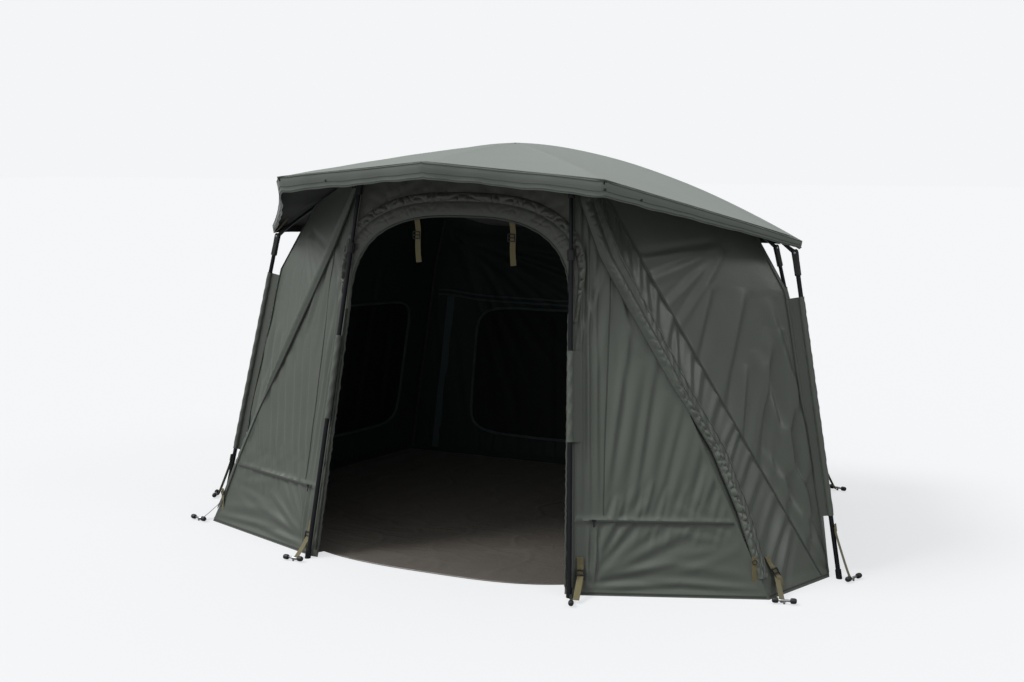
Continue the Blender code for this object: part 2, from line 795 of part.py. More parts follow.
def wall_places(side):
    """Named corners of the walls' outer faces on one side."""
    places = {}
    places["door_foot"] = place(FRONT_FOOT_HALF, WALL_SETBACK, 0, side)
    places["corner_foot"] = place(CORNER_HALF, CORNER_BACK, 0, side)
    places["side_foot"] = toward_hub(foot("side", side), STANDOFF_FOOT)
    places["rear_foot"] = toward_hub(foot("rear", side), STANDOFF_FOOT)
    places["seam_foot"] = lerp(places["corner_foot"], places["side_foot"], SEAM_FOOT_SHARE)
    door_top = front_knuckle(side)[0]
    door_top[1] += WALL_SETBACK
    door_top[2] = 0
    side_top = toward_hub(knuckle("side", side), STANDOFF_KNUCKLE)
    rear_top = toward_hub(knuckle("rear", side), STANDOFF_KNUCKLE)
    places["door_top"] = below_roof(door_top)
    along = side_top - door_top
    length = np.linalg.norm(along[:2])
    for name, share in (
        ("flap_top", FLAP_TOP_SHARE),
        ("seam_top", SEAM_TOP_SHARE),
        ("side_eave_front", 1 - CHOP_ALONG_EAVE / length),
    ):
        places[name] = below_roof(door_top + along * share)
    back_along = rear_top - side_top
    back_length = np.linalg.norm(back_along[:2])
    for name, share in (
        ("side_eave_back", CHOP_ALONG_EAVE / back_length),
        ("rear_eave_front", 1 - CHOP_ALONG_EAVE / back_length),
    ):
        places[name] = below_roof(side_top + back_along * share)
    behind = rear_top - np.array([side * CHOP_ALONG_EAVE, 0, 0])
    places["rear_eave_back"] = below_roof(behind)
    for name, top, low in (("side_low", side_top, "side_foot"), ("rear_low", rear_top, "rear_foot")):
        share = 1 - CHOP_DOWN_LEG / top[2]
        places[name] = lerp(places[low], top, share)
    return places


WALLS = {side: wall_places(side) for _, side in SIDES}


def line(points, rows):
    """Points spread evenly along each stretch between the given points."""
    out = [points[0]]
    for start, end, count in zip(points[:-1], points[1:], rows):
        out += [lerp(start, end, (i + 1) / count) for i in range(count)]
    return np.array(out)


def roof_line(start, end, columns):
    """Level sweep in the plan that follows the roof's underside."""
    flat = [lerp(start, end, i / columns) for i in range(columns + 1)]
    return np.array([flat[0]] + [below_roof(p) for p in flat[1:-1]] + [flat[-1]])


def patch(left, right, bottom, top):
    """Surface blended between four edge lines, rows from the bottom up."""
    rows, columns = len(left), len(bottom)
    v = np.linspace(0, 1, rows)[:, None, None]
    u = np.linspace(0, 1, columns)[None, :, None]
    across = (1 - u) * left[:, None] + u * right[:, None]
    upward = (1 - v) * bottom[None] + v * top[None]
    corners = (1 - u) * (1 - v) * left[0] + u * (1 - v) * right[0]
    corners = corners + (1 - u) * v * left[-1] + u * v * right[-1]
    return across + upward - corners


def scaled_plan(points, share):
    """Points moved level towards the hub's axis by a share of their distance."""
    moved = points.copy()
    moved[..., :2] = HUB_PLAN[:2] + (points[..., :2] - HUB_PLAN[:2]) * (1 - share)
    return moved


def fold_depth(rows, columns, waves, lean):
    """Depth of slanting drawn folds, nothing along the edges."""
    v = np.linspace(0, 1, rows)[:, None]
    u = np.linspace(0, 1, columns)[None, :]
    fade = 16 * u * (1 - u) * v * (1 - v)
    wave = 0.5 + 0.5 * np.sin(2 * math.pi * waves * (u + lean * v))
    return FOLD_SHARE * np.minimum(fade, 1) * wave


def drawn_in(grid):
    """The grid with its side edges drawn in by half a seam clearance."""
    grid = grid.copy()
    for edge, near in ((0, 1), (-1, -2)):
        step = grid[:, near] - grid[:, edge]
        size = np.maximum(np.linalg.norm(step, axis=1, keepdims=True), CLEARANCE)
        grid[:, edge] += step / size * CLEARANCE / 2
    return grid


def folded(left, right, bottom, top, waves, lean, still_row=0):
    """Outer face of one wall panel, with its folds and one row that keeps its line."""
    grid = patch(left, right, bottom, top)
    depth = fold_depth(*grid.shape[:2], waves, lean)
    depth[still_row] = 0
    return scaled_plan(grid, depth[..., None])


def make_wall(name, grid, material):
    outer = drawn_in(grid)
    return sheet(name, outer, scaled_plan(outer, WALL_THICKNESS_SHARE), material)


def at_height(low, high, height):
    """Point at a height on the line between a point on the ground and one above."""
    return lerp(low, high, height / high[2])


def make_side_walls(tag, side, material):
    """Front wing, creased side wall and rear side wall of one side."""
    p = WALLS[side]
    rows, chop, columns, narrow = 14, 4, 10, 6
    below = 3
    marks = [
        [p[low], at_height(p[low], p[high], ZIP_HEIGHT), p[high]]
        for low, high in (("door_foot", "door_top"), ("corner_foot", "flap_top"))
    ]
    wing = folded(
        line(marks[0], [below, rows - below]),
        line(marks[1], [below, rows - below]),
        line([p["door_foot"], p["corner_foot"]], [columns]),
        roof_line(p["door_top"], p["flap_top"], columns),
        3,
        -0.6,
        below,
    )
    make_wall(f"front_wing_{tag}", wing, material)
    seam_line = line([p["seam_foot"], p["seam_top"]], [rows])
    corner = folded(
        line([p["corner_foot"], p["flap_top"]], [rows]),
        seam_line,
        line([p["corner_foot"], p["seam_foot"]], [narrow]),
        roof_line(p["flap_top"], p["seam_top"], narrow),
        2,
        0.5,
    )
    main = folded(
        seam_line,
        line([p["side_foot"], p["side_low"], p["side_eave_front"]], [rows - chop, chop]),
        line([p["seam_foot"], p["side_foot"]], [columns]),
        roof_line(p["seam_top"], p["side_eave_front"], columns),
        3,
        0.7,
    )
    make_wall(f"side_wall_{tag}", np.concatenate([corner, main[:, 1:]], axis=1), material)
    rear = folded(
        line([p["side_foot"], p["side_low"], p["side_eave_back"]], [rows - chop, chop]),
        line([p["rear_foot"], p["rear_low"], p["rear_eave_front"]], [rows - chop, chop]),
        line([p["side_foot"], p["rear_foot"]], [columns]),
        roof_line(p["side_eave_back"], p["rear_eave_front"], columns),
        4,
        0.3,
    )
    make_wall(f"rear_side_wall_{tag}", rear, material)


def make_back_wall(material):
    left, right = WALLS[-1], WALLS[1]
    low, chop, columns = 10, 4, 12
    back = folded(
        line([left["rear_foot"], left["rear_low"], left["rear_eave_back"]], [low, chop]),
        line([right["rear_foot"], right["rear_low"], right["rear_eave_back"]], [low, chop]),
        line([left["rear_foot"], right["rear_foot"]], [columns]),
        roof_line(left["rear_eave_back"], right["rear_eave_back"], columns),
        5,
        0.2,
    )
    make_wall("back_wall", back, material)


def door_wall_y(height):
    """Distance of the door wall's outer face along Y at a height."""
    foot_point, top_point = WALLS[1]["door_foot"], WALLS[1]["door_top"]
    return lerp(foot_point[1], top_point[1], height / top_point[2])


def door_crown():
    """Height of the opening's crown, a header's depth below the wall's upper edge."""
    middle = WALLS[1]["door_top"] * np.array([0, 1, 1])
    return below_roof(middle)[2] - DOOR_HEADER


def door_outline(grow=0.0, jamb=8, arch=9):
    """Half outline of the opening from the ground up to its crown, as half width and height."""
    points = []
    for i in range(jamb):
        share = i / jamb
        half = lerp(DOOR_FOOT_HALF, DOOR_SPRING_HALF, share) + grow
        points.append((half, DOOR_SPRING_HEIGHT * share))
    power = 2 / DOOR_ARCH_POWER_SHARE
    for i in range(arch + 1):
        turn = math.pi / 2 * i / arch
        half = (DOOR_SPRING_HALF + grow) * math.cos(turn) ** power if i < arch else 0.0
        rise = (door_crown() + grow - DOOR_SPRING_HEIGHT) * math.sin(turn) ** power
        points.append((half, DOOR_SPRING_HEIGHT + rise))
    return points


def on_door_wall(half, height, forward=0.0):
    return np.array([half, door_wall_y(height) - forward, height])


def make_door_wall(material):
    """Arch-shaped front panel between the front legs, with the doorway cut out."""
    jamb, arch = 8, 9
    right_inner = [on_door_wall(x, z) for x, z in door_outline(0, jamb, arch)]
    corner = WALLS[1]["door_top"]
    foot_point = WALLS[1]["door_foot"]
    edge_steps = jamb + arch // 2
    right_outer = [lerp(foot_point, corner, i / edge_steps) for i in range(edge_steps + 1)]
    top_steps = arch - arch // 2
    middle = corner * np.array([0, 1, 1])
    for i in range(1, top_steps + 1):
        right_outer.append(below_roof(lerp(corner, middle, i / top_steps)))
    mirror = np.array([-1, 1, 1])
    inner = np.array([p * mirror for p in right_inner[:-1]] + right_inner[::-1])
    outer = np.array([p * mirror for p in right_outer[:-1]] + right_outer[::-1])
    columns = 3
    shares = np.linspace(0, 1, columns)[None, :, None]
    grid = outer[:, None] * (1 - shares) + inner[:, None] * shares
    grid[:, 1:-1, 1] = door_wall_y(grid[:, 1:-1, 2])
    grid[:, -1, 1] = door_wall_y(grid[:, -1, 2])
    step = unit(np.array([1.0, 0, 0])) * CLEARANCE / 2
    for i in range(len(outer)):
        if outer[i][2] < corner[2]:
            grid[i, 0] -= step * np.sign(outer[i][0])
    return sheet("door_wall", grid, scaled_plan(grid, WALL_THICKNESS_SHARE), material)


def make_arch_band(material):
    """Gathered band over the doorway's arch, bulging towards the front."""
    steps = 9
    inner = door_outline(ARCH_BAND_GAP, 8, steps)[8:]
    outer = door_outline(ARCH_BAND_GAP + ARCH_BAND_WIDTH, 8, steps)[8:]
    across = np.linspace(0, 1, 5)
    front, back = [], []
    for (xi, zi), (xo, zo) in zip(inner, outer):
        rise = (zi - DOOR_SPRING_HEIGHT) / (door_crown() - DOOR_SPRING_HEIGHT)
        fullness = lerp(0.3, 1.0, min(1, max(0, rise)) ** 2)
        bulge = ARCH_BAND_CLEAR + ARCH_BAND_BULGE * fullness * np.sin(math.pi * across)
        half, height = lerp(xi, xo, across), lerp(zi, zo, across)
        front.append([on_door_wall(x, z, CLOTH + b) for x, z, b in zip(half, height, bulge)])
        back.append([on_door_wall(x, z, b) for x, z, b in zip(half, height, bulge)])
    front, back = np.array(front), np.array(back)
    mirror = np.array([-1, 1, 1])
    front = np.concatenate([front * mirror, front[-2::-1]])
    back = np.concatenate([back * mirror, back[-2::-1]])
    return sheet("door_arch_band", front, back, material)


def make_corner_flap(tag, side, material):
    """Gathered flap that folds over the corner from the wing to the narrow panel."""
    p = WALLS[side]
    rows = 20
    shares = np.linspace(FLAP_FOOT_SHARE, FLAP_HEAD_SHARE, rows)
    wing_way = unit(p["door_foot"] - p["corner_foot"])
    side_way = unit(p["seam_foot"] - p["corner_foot"])
    front, back = [], []
    for share in shares:
        crease = lerp(p["corner_foot"], p["flap_top"], share)
        wing_edge = lerp(p["door_foot"], p["door_top"], share)
        side_edge = lerp(p["seam_foot"], p["seam_top"], share)
        narrow = np.interp(share, (0, 0.4, 1), (FLAP_FOOT_NARROW_SHARE, 1, FLAP_TOP_NARROW_SHARE))
        to_wing = unit(wing_edge - crease) * min(FLAP_ON_WING, np.linalg.norm(wing_edge - crease) / 2)
        to_side = unit(side_edge - crease) * FLAP_ON_SIDE * narrow
        reach = min(1, 0.8 * np.linalg.norm(side_edge - crease) / np.linalg.norm(to_side))
        to_side = to_side * reach
        marks = [crease + to_wing, crease + to_wing / 2, crease, crease + to_side / 3]
        marks += [crease + to_side * 2 / 3, crease + to_side]
        bulges = np.sin(math.pi * np.linspace(0, 1, len(marks))) * FLAP_BULGE
        low_row, high_row = [], []
        for mark, bulge in zip(marks, bulges):
            away = mark - HUB_PLAN
            away[2] = 0
            away = unit(away)
            low_row.append(mark + away * (FLAP_CLEAR + bulge))
            high_row.append(mark + away * (FLAP_CLEAR + FLAP_CLOTH + bulge))
        front.append(high_row)
        back.append(low_row)
    return sheet(f"corner_flap_{tag}", np.array(front), np.array(back), material)


def make_sleeve(name, station, side, low, high, wall_low, wall_high, material):
    """Cloth tube round a leg with a fin that reaches the wall's corner line."""
    pin, end, down, pin_axis, _ = leg_axes(station, side)
    first, second = section_frame(down, pin_axis)
    inner_r = bore_radius(POLE_R, POLE_SIDES)
    outer_r = inner_r + SLEEVE_CLOTH
    rows = SLEEVE_ROWS
    outer_rings, inner_rings, tips = [], [], []
    for i in range(rows):
        height = lerp(low, high, i / (rows - 1))
        center = lerp(end, pin, height / pin[2])
        wall = lerp(wall_low, wall_high, height / wall_high[2])
        reach = wall - center
        reach = reach - down * (reach @ down)
        tip = center + reach * (1 - (CLEARANCE * 3) / np.linalg.norm(reach))
        if i == 0:
            angle = math.atan2(reach @ second, reach @ first)
            step = 2 * math.pi / POLE_SIDES
            turn = angle - step / 2
        outer_rings.append(ring(center, first, second, outer_r, POLE_SIDES, turn))
        inner_rings.append(ring(center, first, second, inner_r, POLE_SIDES, turn))
        sideways = unit(np.cross(down, reach)) * SLEEVE_FIN / 2
        tips.append(np.array([tip - sideways, tip + sideways]))
    sides = POLE_SIDES
    per_row = 2 * sides + 2
    points = np.concatenate([np.concatenate(r) for r in zip(outer_rings, inner_rings, tips)])
    tip_a, tip_b = 2 * sides, 2 * sides + 1
    faces = []
    for i in range(rows - 1):
        here, above = i * per_row, (i + 1) * per_row
        for j in range(1, sides):
            after = (j + 1) % sides
            faces.append((here + j, here + after, above + after, above + j))
        for j in range(sides):
            after = (j + 1) % sides
            a, b = here + sides + j, here + sides + after
            c, d = above + sides + after, above + sides + j
            faces.append((b, a, d, c))
        faces.append((here, here + tip_a, above + tip_a))
        faces.append((here, above + tip_a, above))
        faces.append((here + tip_a, here + tip_b, above + tip_b, above + tip_a))
        faces.append((here + tip_b, here + 1, above + tip_b))
        faces.append((here + 1, above + 1, above + tip_b))
    for base in (0, (rows - 1) * per_row):
        for j in range(sides):
            after = (j + 1) % sides
            faces.append((base + j, base + after, base + sides + after, base + sides + j))
        faces.append((base, base + tip_a, base + tip_b, base + 1))
    return solid(name, points, faces, material)


def make_groundsheet(material):
    """Flat floor inside the walls, with its curved front edge in the doorway."""
    share = WALL_THICKNESS_SHARE + SHEET_GAP_SHARE
    names = ("corner_foot", "seam_foot", "side_foot", "rear_foot")
    right = [scaled_plan(WALLS[1][n], share) for n in names]
    front_corner = scaled_plan(WALLS[1]["door_foot"], share)
    curve = []
    steps = 12
    for i in range(steps + 1):
        across = lerp(-1, 1, i / steps)
        back = SHEET_FRONT_BACK + SHEET_FRONT_CURVE * abs(across) ** 3
        curve.append(place(SHEET_FRONT_HALF * across, back, 0))
    mirror = np.array([-1, 1, 1])
    wing_start = lerp(front_corner, right[0], 0.12)
    outline = curve + [wing_start] + right
    outline += [p * mirror for p in reversed(right)] + [wing_start * mirror]
    low = np.array(outline)
    high = low + np.array([0, 0, SHEET_THICKNESS])
    return loft("groundsheet", [low, high], material, smooth=False)


def make_door_strap(tag, side, material):
    """Webbing strap that hangs in the doorway, with a slider part way down."""
    top = door_crown() + DOOR_STRAP_OVER_CROWN
    slider = top - SLIDER_BELOW_TOP
    back = door_wall_y(top)
    inside = scaled_plan(np.array([side * DOOR_STRAP_PLACE, back, top]), WALL_THICKNESS_SHARE)
    y = inside[1] + CLEARANCE + DOOR_STRAP_CLOTH / 2
    half_slider = SLIDER_LENGTH / 2
    thin, thick = DOOR_STRAP_CLOTH / 2, (DOOR_STRAP_CLOTH + SLIDER_EXTRA) / 2
    narrow, wide = DOOR_STRAP_WIDTH / 2, DOOR_STRAP_WIDTH / 2 + SLIDER_EXTRA
    edge = MM
    marks = [
        (top - DOOR_STRAP_LENGTH, narrow, thin),
        (slider - half_slider, narrow, thin),
        (slider - half_slider + edge, wide, thick),
        (slider + half_slider - edge, wide, thick),
        (slider + half_slider, narrow, thin),
        (top, narrow, thin),
    ]
    rings = []
    for z, w, t in marks:
        center = np.array([side * DOOR_STRAP_PLACE, y, z])
        corners = np.array([(-w, -t, 0), (w, -t, 0), (w, t, 0), (-w, t, 0)])
        rings.append(center + corners)
    return loft(f"door_strap_{tag}", rings, material, smooth=False)


def wing_frame(side):
    """Zip line on the front wing: start, direction along it, and the outward direction."""
    p = WALLS[side]
    start = at_height(p["door_foot"], p["door_top"], ZIP_HEIGHT)
    end = at_height(p["corner_foot"], p["flap_top"], ZIP_HEIGHT)
    along = unit(end - start)
    upward = unit(p["door_top"] - p["door_foot"])
    outward = unit(np.cross(along, upward)) * side
    return start, along, outward


def make_zip_runner(tag, side, material):
    """Zip slider body with its pull tab, lying on the wing's face."""
    start, along, outward = wing_frame(side)
    down = unit(np.cross(along, outward))
    down = down if down[2] < 0 else -down
    base = start + along * ZIP_START + outward * (CLEARANCE * 1.5)
    half, depth = ZIP_LENGTH / 2, ZIP_THICKNESS
    body = plate(
        f"zip_runner_{tag}",
        [(-half, -ZIP_BODY / 2), (half, -ZIP_BODY / 3), (half, ZIP_BODY / 3), (-half, ZIP_BODY / 2)],
        base + outward * depth / 2,
        along,
        down,
        depth,
        material,
    )
    tab_half = ZIP_TAB_WIDTH / 2
    tab = plate(
        "tab",
        [(-tab_half, 0), (tab_half, 0), (tab_half, ZIP_TAB_LENGTH), (-tab_half, ZIP_TAB_LENGTH)],
        base + outward * (depth - ZIP_TAB_THICKNESS),
        along,
        down,
        ZIP_TAB_THICKNESS,
        material,
    )
    return combine(body, tab, "UNION")


# Pegs: distance out from the wall's line and the turn of the handle
def corner_strap_line(side):
    """Upright line on the narrow corner panel where its ground strap is sewn: foot and head."""
    p = WALLS[side]
    share = CORNER_STRAP_PLACE / np.linalg.norm(p["seam_foot"] - p["corner_foot"])
    low = lerp(p["corner_foot"], p["seam_foot"], share)
    return low, lerp(p["flap_top"], p["seam_top"], share)


def peg_places():
    """Each peg's name, its place on the ground, and the direction of its handle."""
    out = []
    for tag, side in SIDES:
        p = WALLS[side]
        ahead = np.array([side * BUCKLE_WIDTH, -STRAP_TOP_HEIGHT * 0.42, 0])
        front = place(FRONT_FOOT_HALF, 0, 0, side) + ahead
        corner = toward_hub(p["corner_foot"], -PEG_HANDLE_LENGTH * 0.72)
        side_peg = toward_hub(foot("side", side), -PEG_HANDLE_LENGTH * 0.62)
        rear = toward_hub(foot("rear", side), -PEG_HANDLE_LENGTH * 0.62)
        level = np.array([1.0, 0, 0])
        run = unit(corner - corner_strap_line(side)[0])
        out.append((f"front_{tag}", front, level if side < 0 else unit(np.array([0.35, -1, 0]))))
        out.append((f"corner_{tag}", corner, np.array([run[1], -run[0], 0])))
        out.append((f"side_{tag}", side_peg, unit(np.array([side * 0.5, 1, 0]))))
        out.append((f"rear_{tag}", rear, unit(np.array([1.0, -side * 0.4, 0]))))
    return out


def make_peg(name, point, along, material):
    """Cross handle with two knobs, and the shaft that goes down into the ground."""
    half = PEG_HANDLE_LENGTH / 2
    height = np.array([0, 0, PEG_HANDLE_HEIGHT])
    first, second = section_frame(along, np.array([0, 0, 1.0]))
    marks = [
        (-half, PEG_KNOB_R * 0.8),
        (-half + PEG_KNOB_LENGTH * 0.2, PEG_KNOB_R),
        (-half + PEG_KNOB_LENGTH * 0.9, PEG_KNOB_R * 0.9),
        (-half + PEG_KNOB_LENGTH, PEG_HANDLE_R),
    ]
    marks += [(-s, r) for s, r in reversed(marks)]
    rings = [ring(point + height + along * s, first, second, r, PEG_SIDES) for s, r in marks]
    piece = loft(f"peg_{name}", rings, material)
    shaft = rod("shaft", point.copy(), point + height, PEG_SHAFT_R, PEG_SIDES, material, along)
    return combine(piece, shaft, "UNION")


def ribbon(name, centers, widths, thicknesses, across, material):
    """Webbing along a path: a flat section whose width lies along one direction."""
    front, back = [], []
    centers = np.array(centers)
    for i, center in enumerate(centers):
        ahead = unit(centers[min(i + 1, len(centers) - 1)] - centers[max(i - 1, 0)])
        level = unit(across - ahead * (across @ ahead)) * widths[i] / 2
        normal = unit(np.cross(ahead, level)) * thicknesses[i] / 2
        front.append([center - level + normal, center + level + normal])
        back.append([center - level - normal, center + level - normal])
    return sheet(name, np.array(front), np.array(back), material)


def make_strap(name, top, wall_down, outward, across, peg, aside, material):
    """Ground strap: sewn end on the wall, ladder buckle, and the run down to its peg."""
    seat = outward * (STRAP_CLOTH / 2 + CLEARANCE)
    to_peg = peg + across * aside - top
    to_peg[2] = 0
    toward = unit(to_peg)
    end = peg + across * aside - toward * (PEG_SHAFT_R + CLEARANCE) * (aside == 0)
    end[2] = PEG_HANDLE_HEIGHT if aside else STRAP_FOOT_HEIGHT
    flat = end - toward * (PEG_HANDLE_R * 2 * (aside == 0) + MM)
    buckle = top + wall_down * (top[2] - BUCKLE_HEIGHT) / -wall_down[2] + outward * BUCKLE_THICKNESS
    half = BUCKLE_LENGTH / 2
    run = unit(flat - buckle)
    fall = unit(buckle - top)
    centers = [
        top + seat,
        top + seat + wall_down * STRAP_WIDTH,
        buckle - fall * (half + MM),
        buckle - fall * half,
        buckle + run * half,
        buckle + run * (half + MM),
        flat,
        end,
    ]
    widths = [STRAP_WIDTH] * 3 + [BUCKLE_WIDTH] * 2 + [STRAP_WIDTH] * 3
    thick = [STRAP_CLOTH] * 3 + [BUCKLE_THICKNESS] * 2 + [STRAP_CLOTH] * 3
    return ribbon(name, centers, widths, thick, across, material)


def make_leg_strap(name, station, side, peg, material):
    """Webbing from the side leg's lower end down to its peg."""
    _, end, down, pin_axis, inward = leg_axes(station, side)
    top = end - down * (LEG_STRAP_HEIGHT / -down[2])
    seat = -inward * (POLE_R + CLEARANCE + STRAP_CLOTH / 2)
    toward = unit(peg - end)
    finish_point = peg - toward * (PEG_SHAFT_R + CLEARANCE)
    finish_point[2] = STRAP_FOOT_HEIGHT
    flat = finish_point - toward * (PEG_HANDLE_R * 2 + MM)
    centers = [top + seat, top + seat + down * STRAP_WIDTH, flat, finish_point]
    return ribbon(name, centers, [STRAP_WIDTH] * 4, [STRAP_CLOTH] * 4, pin_axis, material)


def build():
    clear_scene()
    roof_cloth = finish("Coated polyester roof", (0.150, 0.171, 0.155), 0.55)
    wall_cloth = finish("Coated polyester wall", (0.063, 0.073, 0.063), 0.70)
    floor_cloth = finish("Coated groundsheet", (0.035, 0.030, 0.027), 0.60)
    webbing = finish("Olive webbing", (0.150, 0.128, 0.062), 0.80)
    tube = finish("Anodised tube", (0.020, 0.021, 0.026), 0.35, 0.6)
    moulding = finish("Moulded nylon", (0.016, 0.016, 0.018), 0.50)
    steel = finish("Plated steel", (0.250, 0.250, 0.240), 0.35, 1.0)

    make_hub(moulding)
    make_roof(roof_cloth)
    for station in STATIONS:
        for tag, side in SIDES:
            make_spoke(station, tag, side, tube)
            pole = INNER_POLE_R if station == "front" else POLE_R
            make_fork(station, tag, side, pole, moulding)
            if station != "front":
                make_pole(f"leg_{station}_{tag}", station, side, tube)
    for tag, side in SIDES:
        make_front_leg(tag, side, tube, moulding)
        make_side_walls(tag, side, wall_cloth)
        make_corner_flap(tag, side, wall_cloth)
        p = WALLS[side]
        make_sleeve(
            f"sleeve_front_{tag}", "front", side, FRONT_SLEEVE_LOW, FRONT_SLEEVE_HIGH,
            p["door_foot"], p["door_top"], wall_cloth,
        )
        make_sleeve(
            f"sleeve_side_{tag}", "side", side, SIDE_SLEEVE_LOW, SIDE_SLEEVE_HIGH,
            p["side_foot"], p["side_low"], wall_cloth,
        )
        make_sleeve(
            f"sleeve_rear_{tag}", "rear", side, REAR_SLEEVE_LOW, REAR_SLEEVE_HIGH,
            p["rear_foot"], p["rear_low"], wall_cloth,
        )
        make_door_strap(tag, side, webbing)
        make_zip_runner(tag, side, steel)
    make_door_wall(wall_cloth)
    make_arch_band(wall_cloth)
    make_back_wall(wall_cloth)
    make_groundsheet(floor_cloth)
    pegs = {name: (point, along) for name, point, along in peg_places()}
    for name, (point, along) in pegs.items():
        make_peg(name, point, along, steel)
    for tag, side in SIDES:
        p = WALLS[side]
        _, along, outward = wing_frame(side)
        down = unit(p["door_foot"] - p["door_top"])
        top = at_height(p["door_foot"], p["door_top"], STRAP_TOP_HEIGHT)
        top = top + along * STRAP_WIDTH * 1.3
        beside = 0 if side < 0 else PEG_HANDLE_R + STRAP_WIDTH / 2 + CLEARANCE
        peg = pegs[f"front_{tag}"][0]
        make_strap(f"strap_front_{tag}", top, down, outward, along, peg, beside, webbing)
        low, high = corner_strap_line(side)
        corner_along = unit(p["seam_foot"] - p["corner_foot"])
        corner_up = unit(high - low)
        corner_out = unit(np.cross(corner_along, corner_up)) * side
        start = at_height(low, high, STRAP_TOP_HEIGHT)
        peg = pegs[f"corner_{tag}"][0]
        make_strap(f"strap_corner_{tag}", start, -corner_up, corner_out, corner_along, peg, 0, webbing)
        make_leg_strap(f"strap_side_{tag}", "side", side, pegs[f"side_{tag}"][0], webbing)


build()
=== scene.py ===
import json
import math

import bpy
import numpy as np
from bpy.props import FloatProperty, FloatVectorProperty, PointerProperty
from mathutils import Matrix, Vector

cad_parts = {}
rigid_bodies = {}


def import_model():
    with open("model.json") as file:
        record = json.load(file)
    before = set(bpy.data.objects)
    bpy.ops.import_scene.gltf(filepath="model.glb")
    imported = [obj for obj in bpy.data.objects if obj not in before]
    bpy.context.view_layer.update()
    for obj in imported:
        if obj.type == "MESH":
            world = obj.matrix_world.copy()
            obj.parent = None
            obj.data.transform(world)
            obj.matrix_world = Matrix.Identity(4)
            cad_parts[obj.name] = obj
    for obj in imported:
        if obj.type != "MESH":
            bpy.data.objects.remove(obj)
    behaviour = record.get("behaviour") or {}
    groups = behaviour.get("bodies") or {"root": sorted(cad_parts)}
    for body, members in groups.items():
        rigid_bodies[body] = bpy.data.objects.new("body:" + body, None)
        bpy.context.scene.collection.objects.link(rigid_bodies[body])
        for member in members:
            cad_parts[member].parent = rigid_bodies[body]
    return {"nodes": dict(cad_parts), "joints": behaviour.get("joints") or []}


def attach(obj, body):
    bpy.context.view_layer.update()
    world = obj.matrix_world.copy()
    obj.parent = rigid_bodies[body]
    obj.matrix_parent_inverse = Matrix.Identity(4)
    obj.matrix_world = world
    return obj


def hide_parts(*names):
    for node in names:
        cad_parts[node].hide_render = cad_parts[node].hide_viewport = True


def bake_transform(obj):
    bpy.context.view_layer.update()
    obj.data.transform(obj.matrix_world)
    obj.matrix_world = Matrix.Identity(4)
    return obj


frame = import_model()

bl_info = {
    "name": "Bivvy Tent Dresser",
    "version": (1, 0, 0),
    "blender": (4, 5, 0),
    "location": "View3D > Sidebar > Tent",
    "description": "Cloth, seams, webbing, pegs, finishes and a studio stage for a pitched bivvy tent",
    "category": "Object",
}

# Metres, +Z up, the doorway towards -Y. The places below are those of the packed model.
MM = 0.001
FLAT = np.array([1.0, 1.0, 0.0])
UP = np.array([0.0, 0.0, 1.0])
FORWARD = np.array([0.0, -1.0, 0.0])
RIGHTWARD = np.array([1.0, 0.0, 0.0])
MIRROR = np.array([-1.0, 1.0, 1.0])
SIDES = (("l", -1), ("r", 1))
FRONT_Y = -0.9851
HUB = np.array([0.0, FRONT_Y + 0.824, 0.0])
HUB_HEIGHT = 1.746
# Distance to the side, distance back from the front line, and height; the feet stand on the ground
PEAK = (0, -0.059, 1.670)
FRONT_TIP = (0.725, 0.025, 1.604)
KNUCKLES = {"side": (1.262, 0.803, 1.303), "rear": (0.944, 1.863, 1.243)}
FEET = {"front": (0.599, 0.0), "side": (1.513, 0.660), "rear": (1.211, 2.012)}
# Roof: dip of a panel between its ribs, how far its edge is cut in as a share, thickness,
# and the room left between it and the walls
PANEL_DIP = 0.012
EDGE_CUT = 0.022
ROOF_CLOTH = 0.0025
UNDER_ROOF = 0.020
# A wall's outer face: how far in it lies at a foot and at a knuckle, how far down its corner is cut off,
# and where that corner is tied to the spoke
FOOT_IN = 0.040
KNUCKLE_IN = 0.056
CORNER_GAP = 0.158
TIE_IN = 0.192
TIE_DROP = 0.016
# How far a wall's cloth lies back inside its edges, and how far its folds may stand out
SET_BACK = 5.0 * MM
BULGE = 2.2 * MM
BULGE_SOFTNESS = 2 * MM
ZIP_HEIGHT = 0.285
# Doorway: half widths at the ground and where the arch begins, that height, the cloth over the crown,
# and the power of the arch's superellipse
DOOR = {"foot": 0.568, "spring": 0.500, "spring_height": 1.050, "header": 0.2417, "power": 2.8}
# Room between a piece and what it lies on
FIT = 0.0003
# Name of the layer that holds a piece's flat cut, and the angle from which an edge stays sharp
CUT = "Cut"
SHARP_ANGLE = 50
# Scale at which a wave texture makes about half a wave in a metre
WAVE_SCALE = 0.159


# Settings of the add-on
def linear(code):
    """Linear colour from an sRGB hex code."""
    values = np.array([int(code[i : i + 2], 16) for i in (1, 3, 5)]) / 255
    return tuple(np.where(values <= 0.04045, values / 12.92, ((values + 0.055) / 1.055) ** 2.4))


def length(label, about, default):
    """A setting in metres."""
    return FloatProperty(name=label, description=about, default=default, min=0.0, precision=5, unit="LENGTH")


def colour(label, about, code):
    """A setting that holds a colour."""
    return FloatVectorProperty(
        name=label, description=about, default=linear(code), size=3, min=0, max=1, subtype="COLOR"
    )


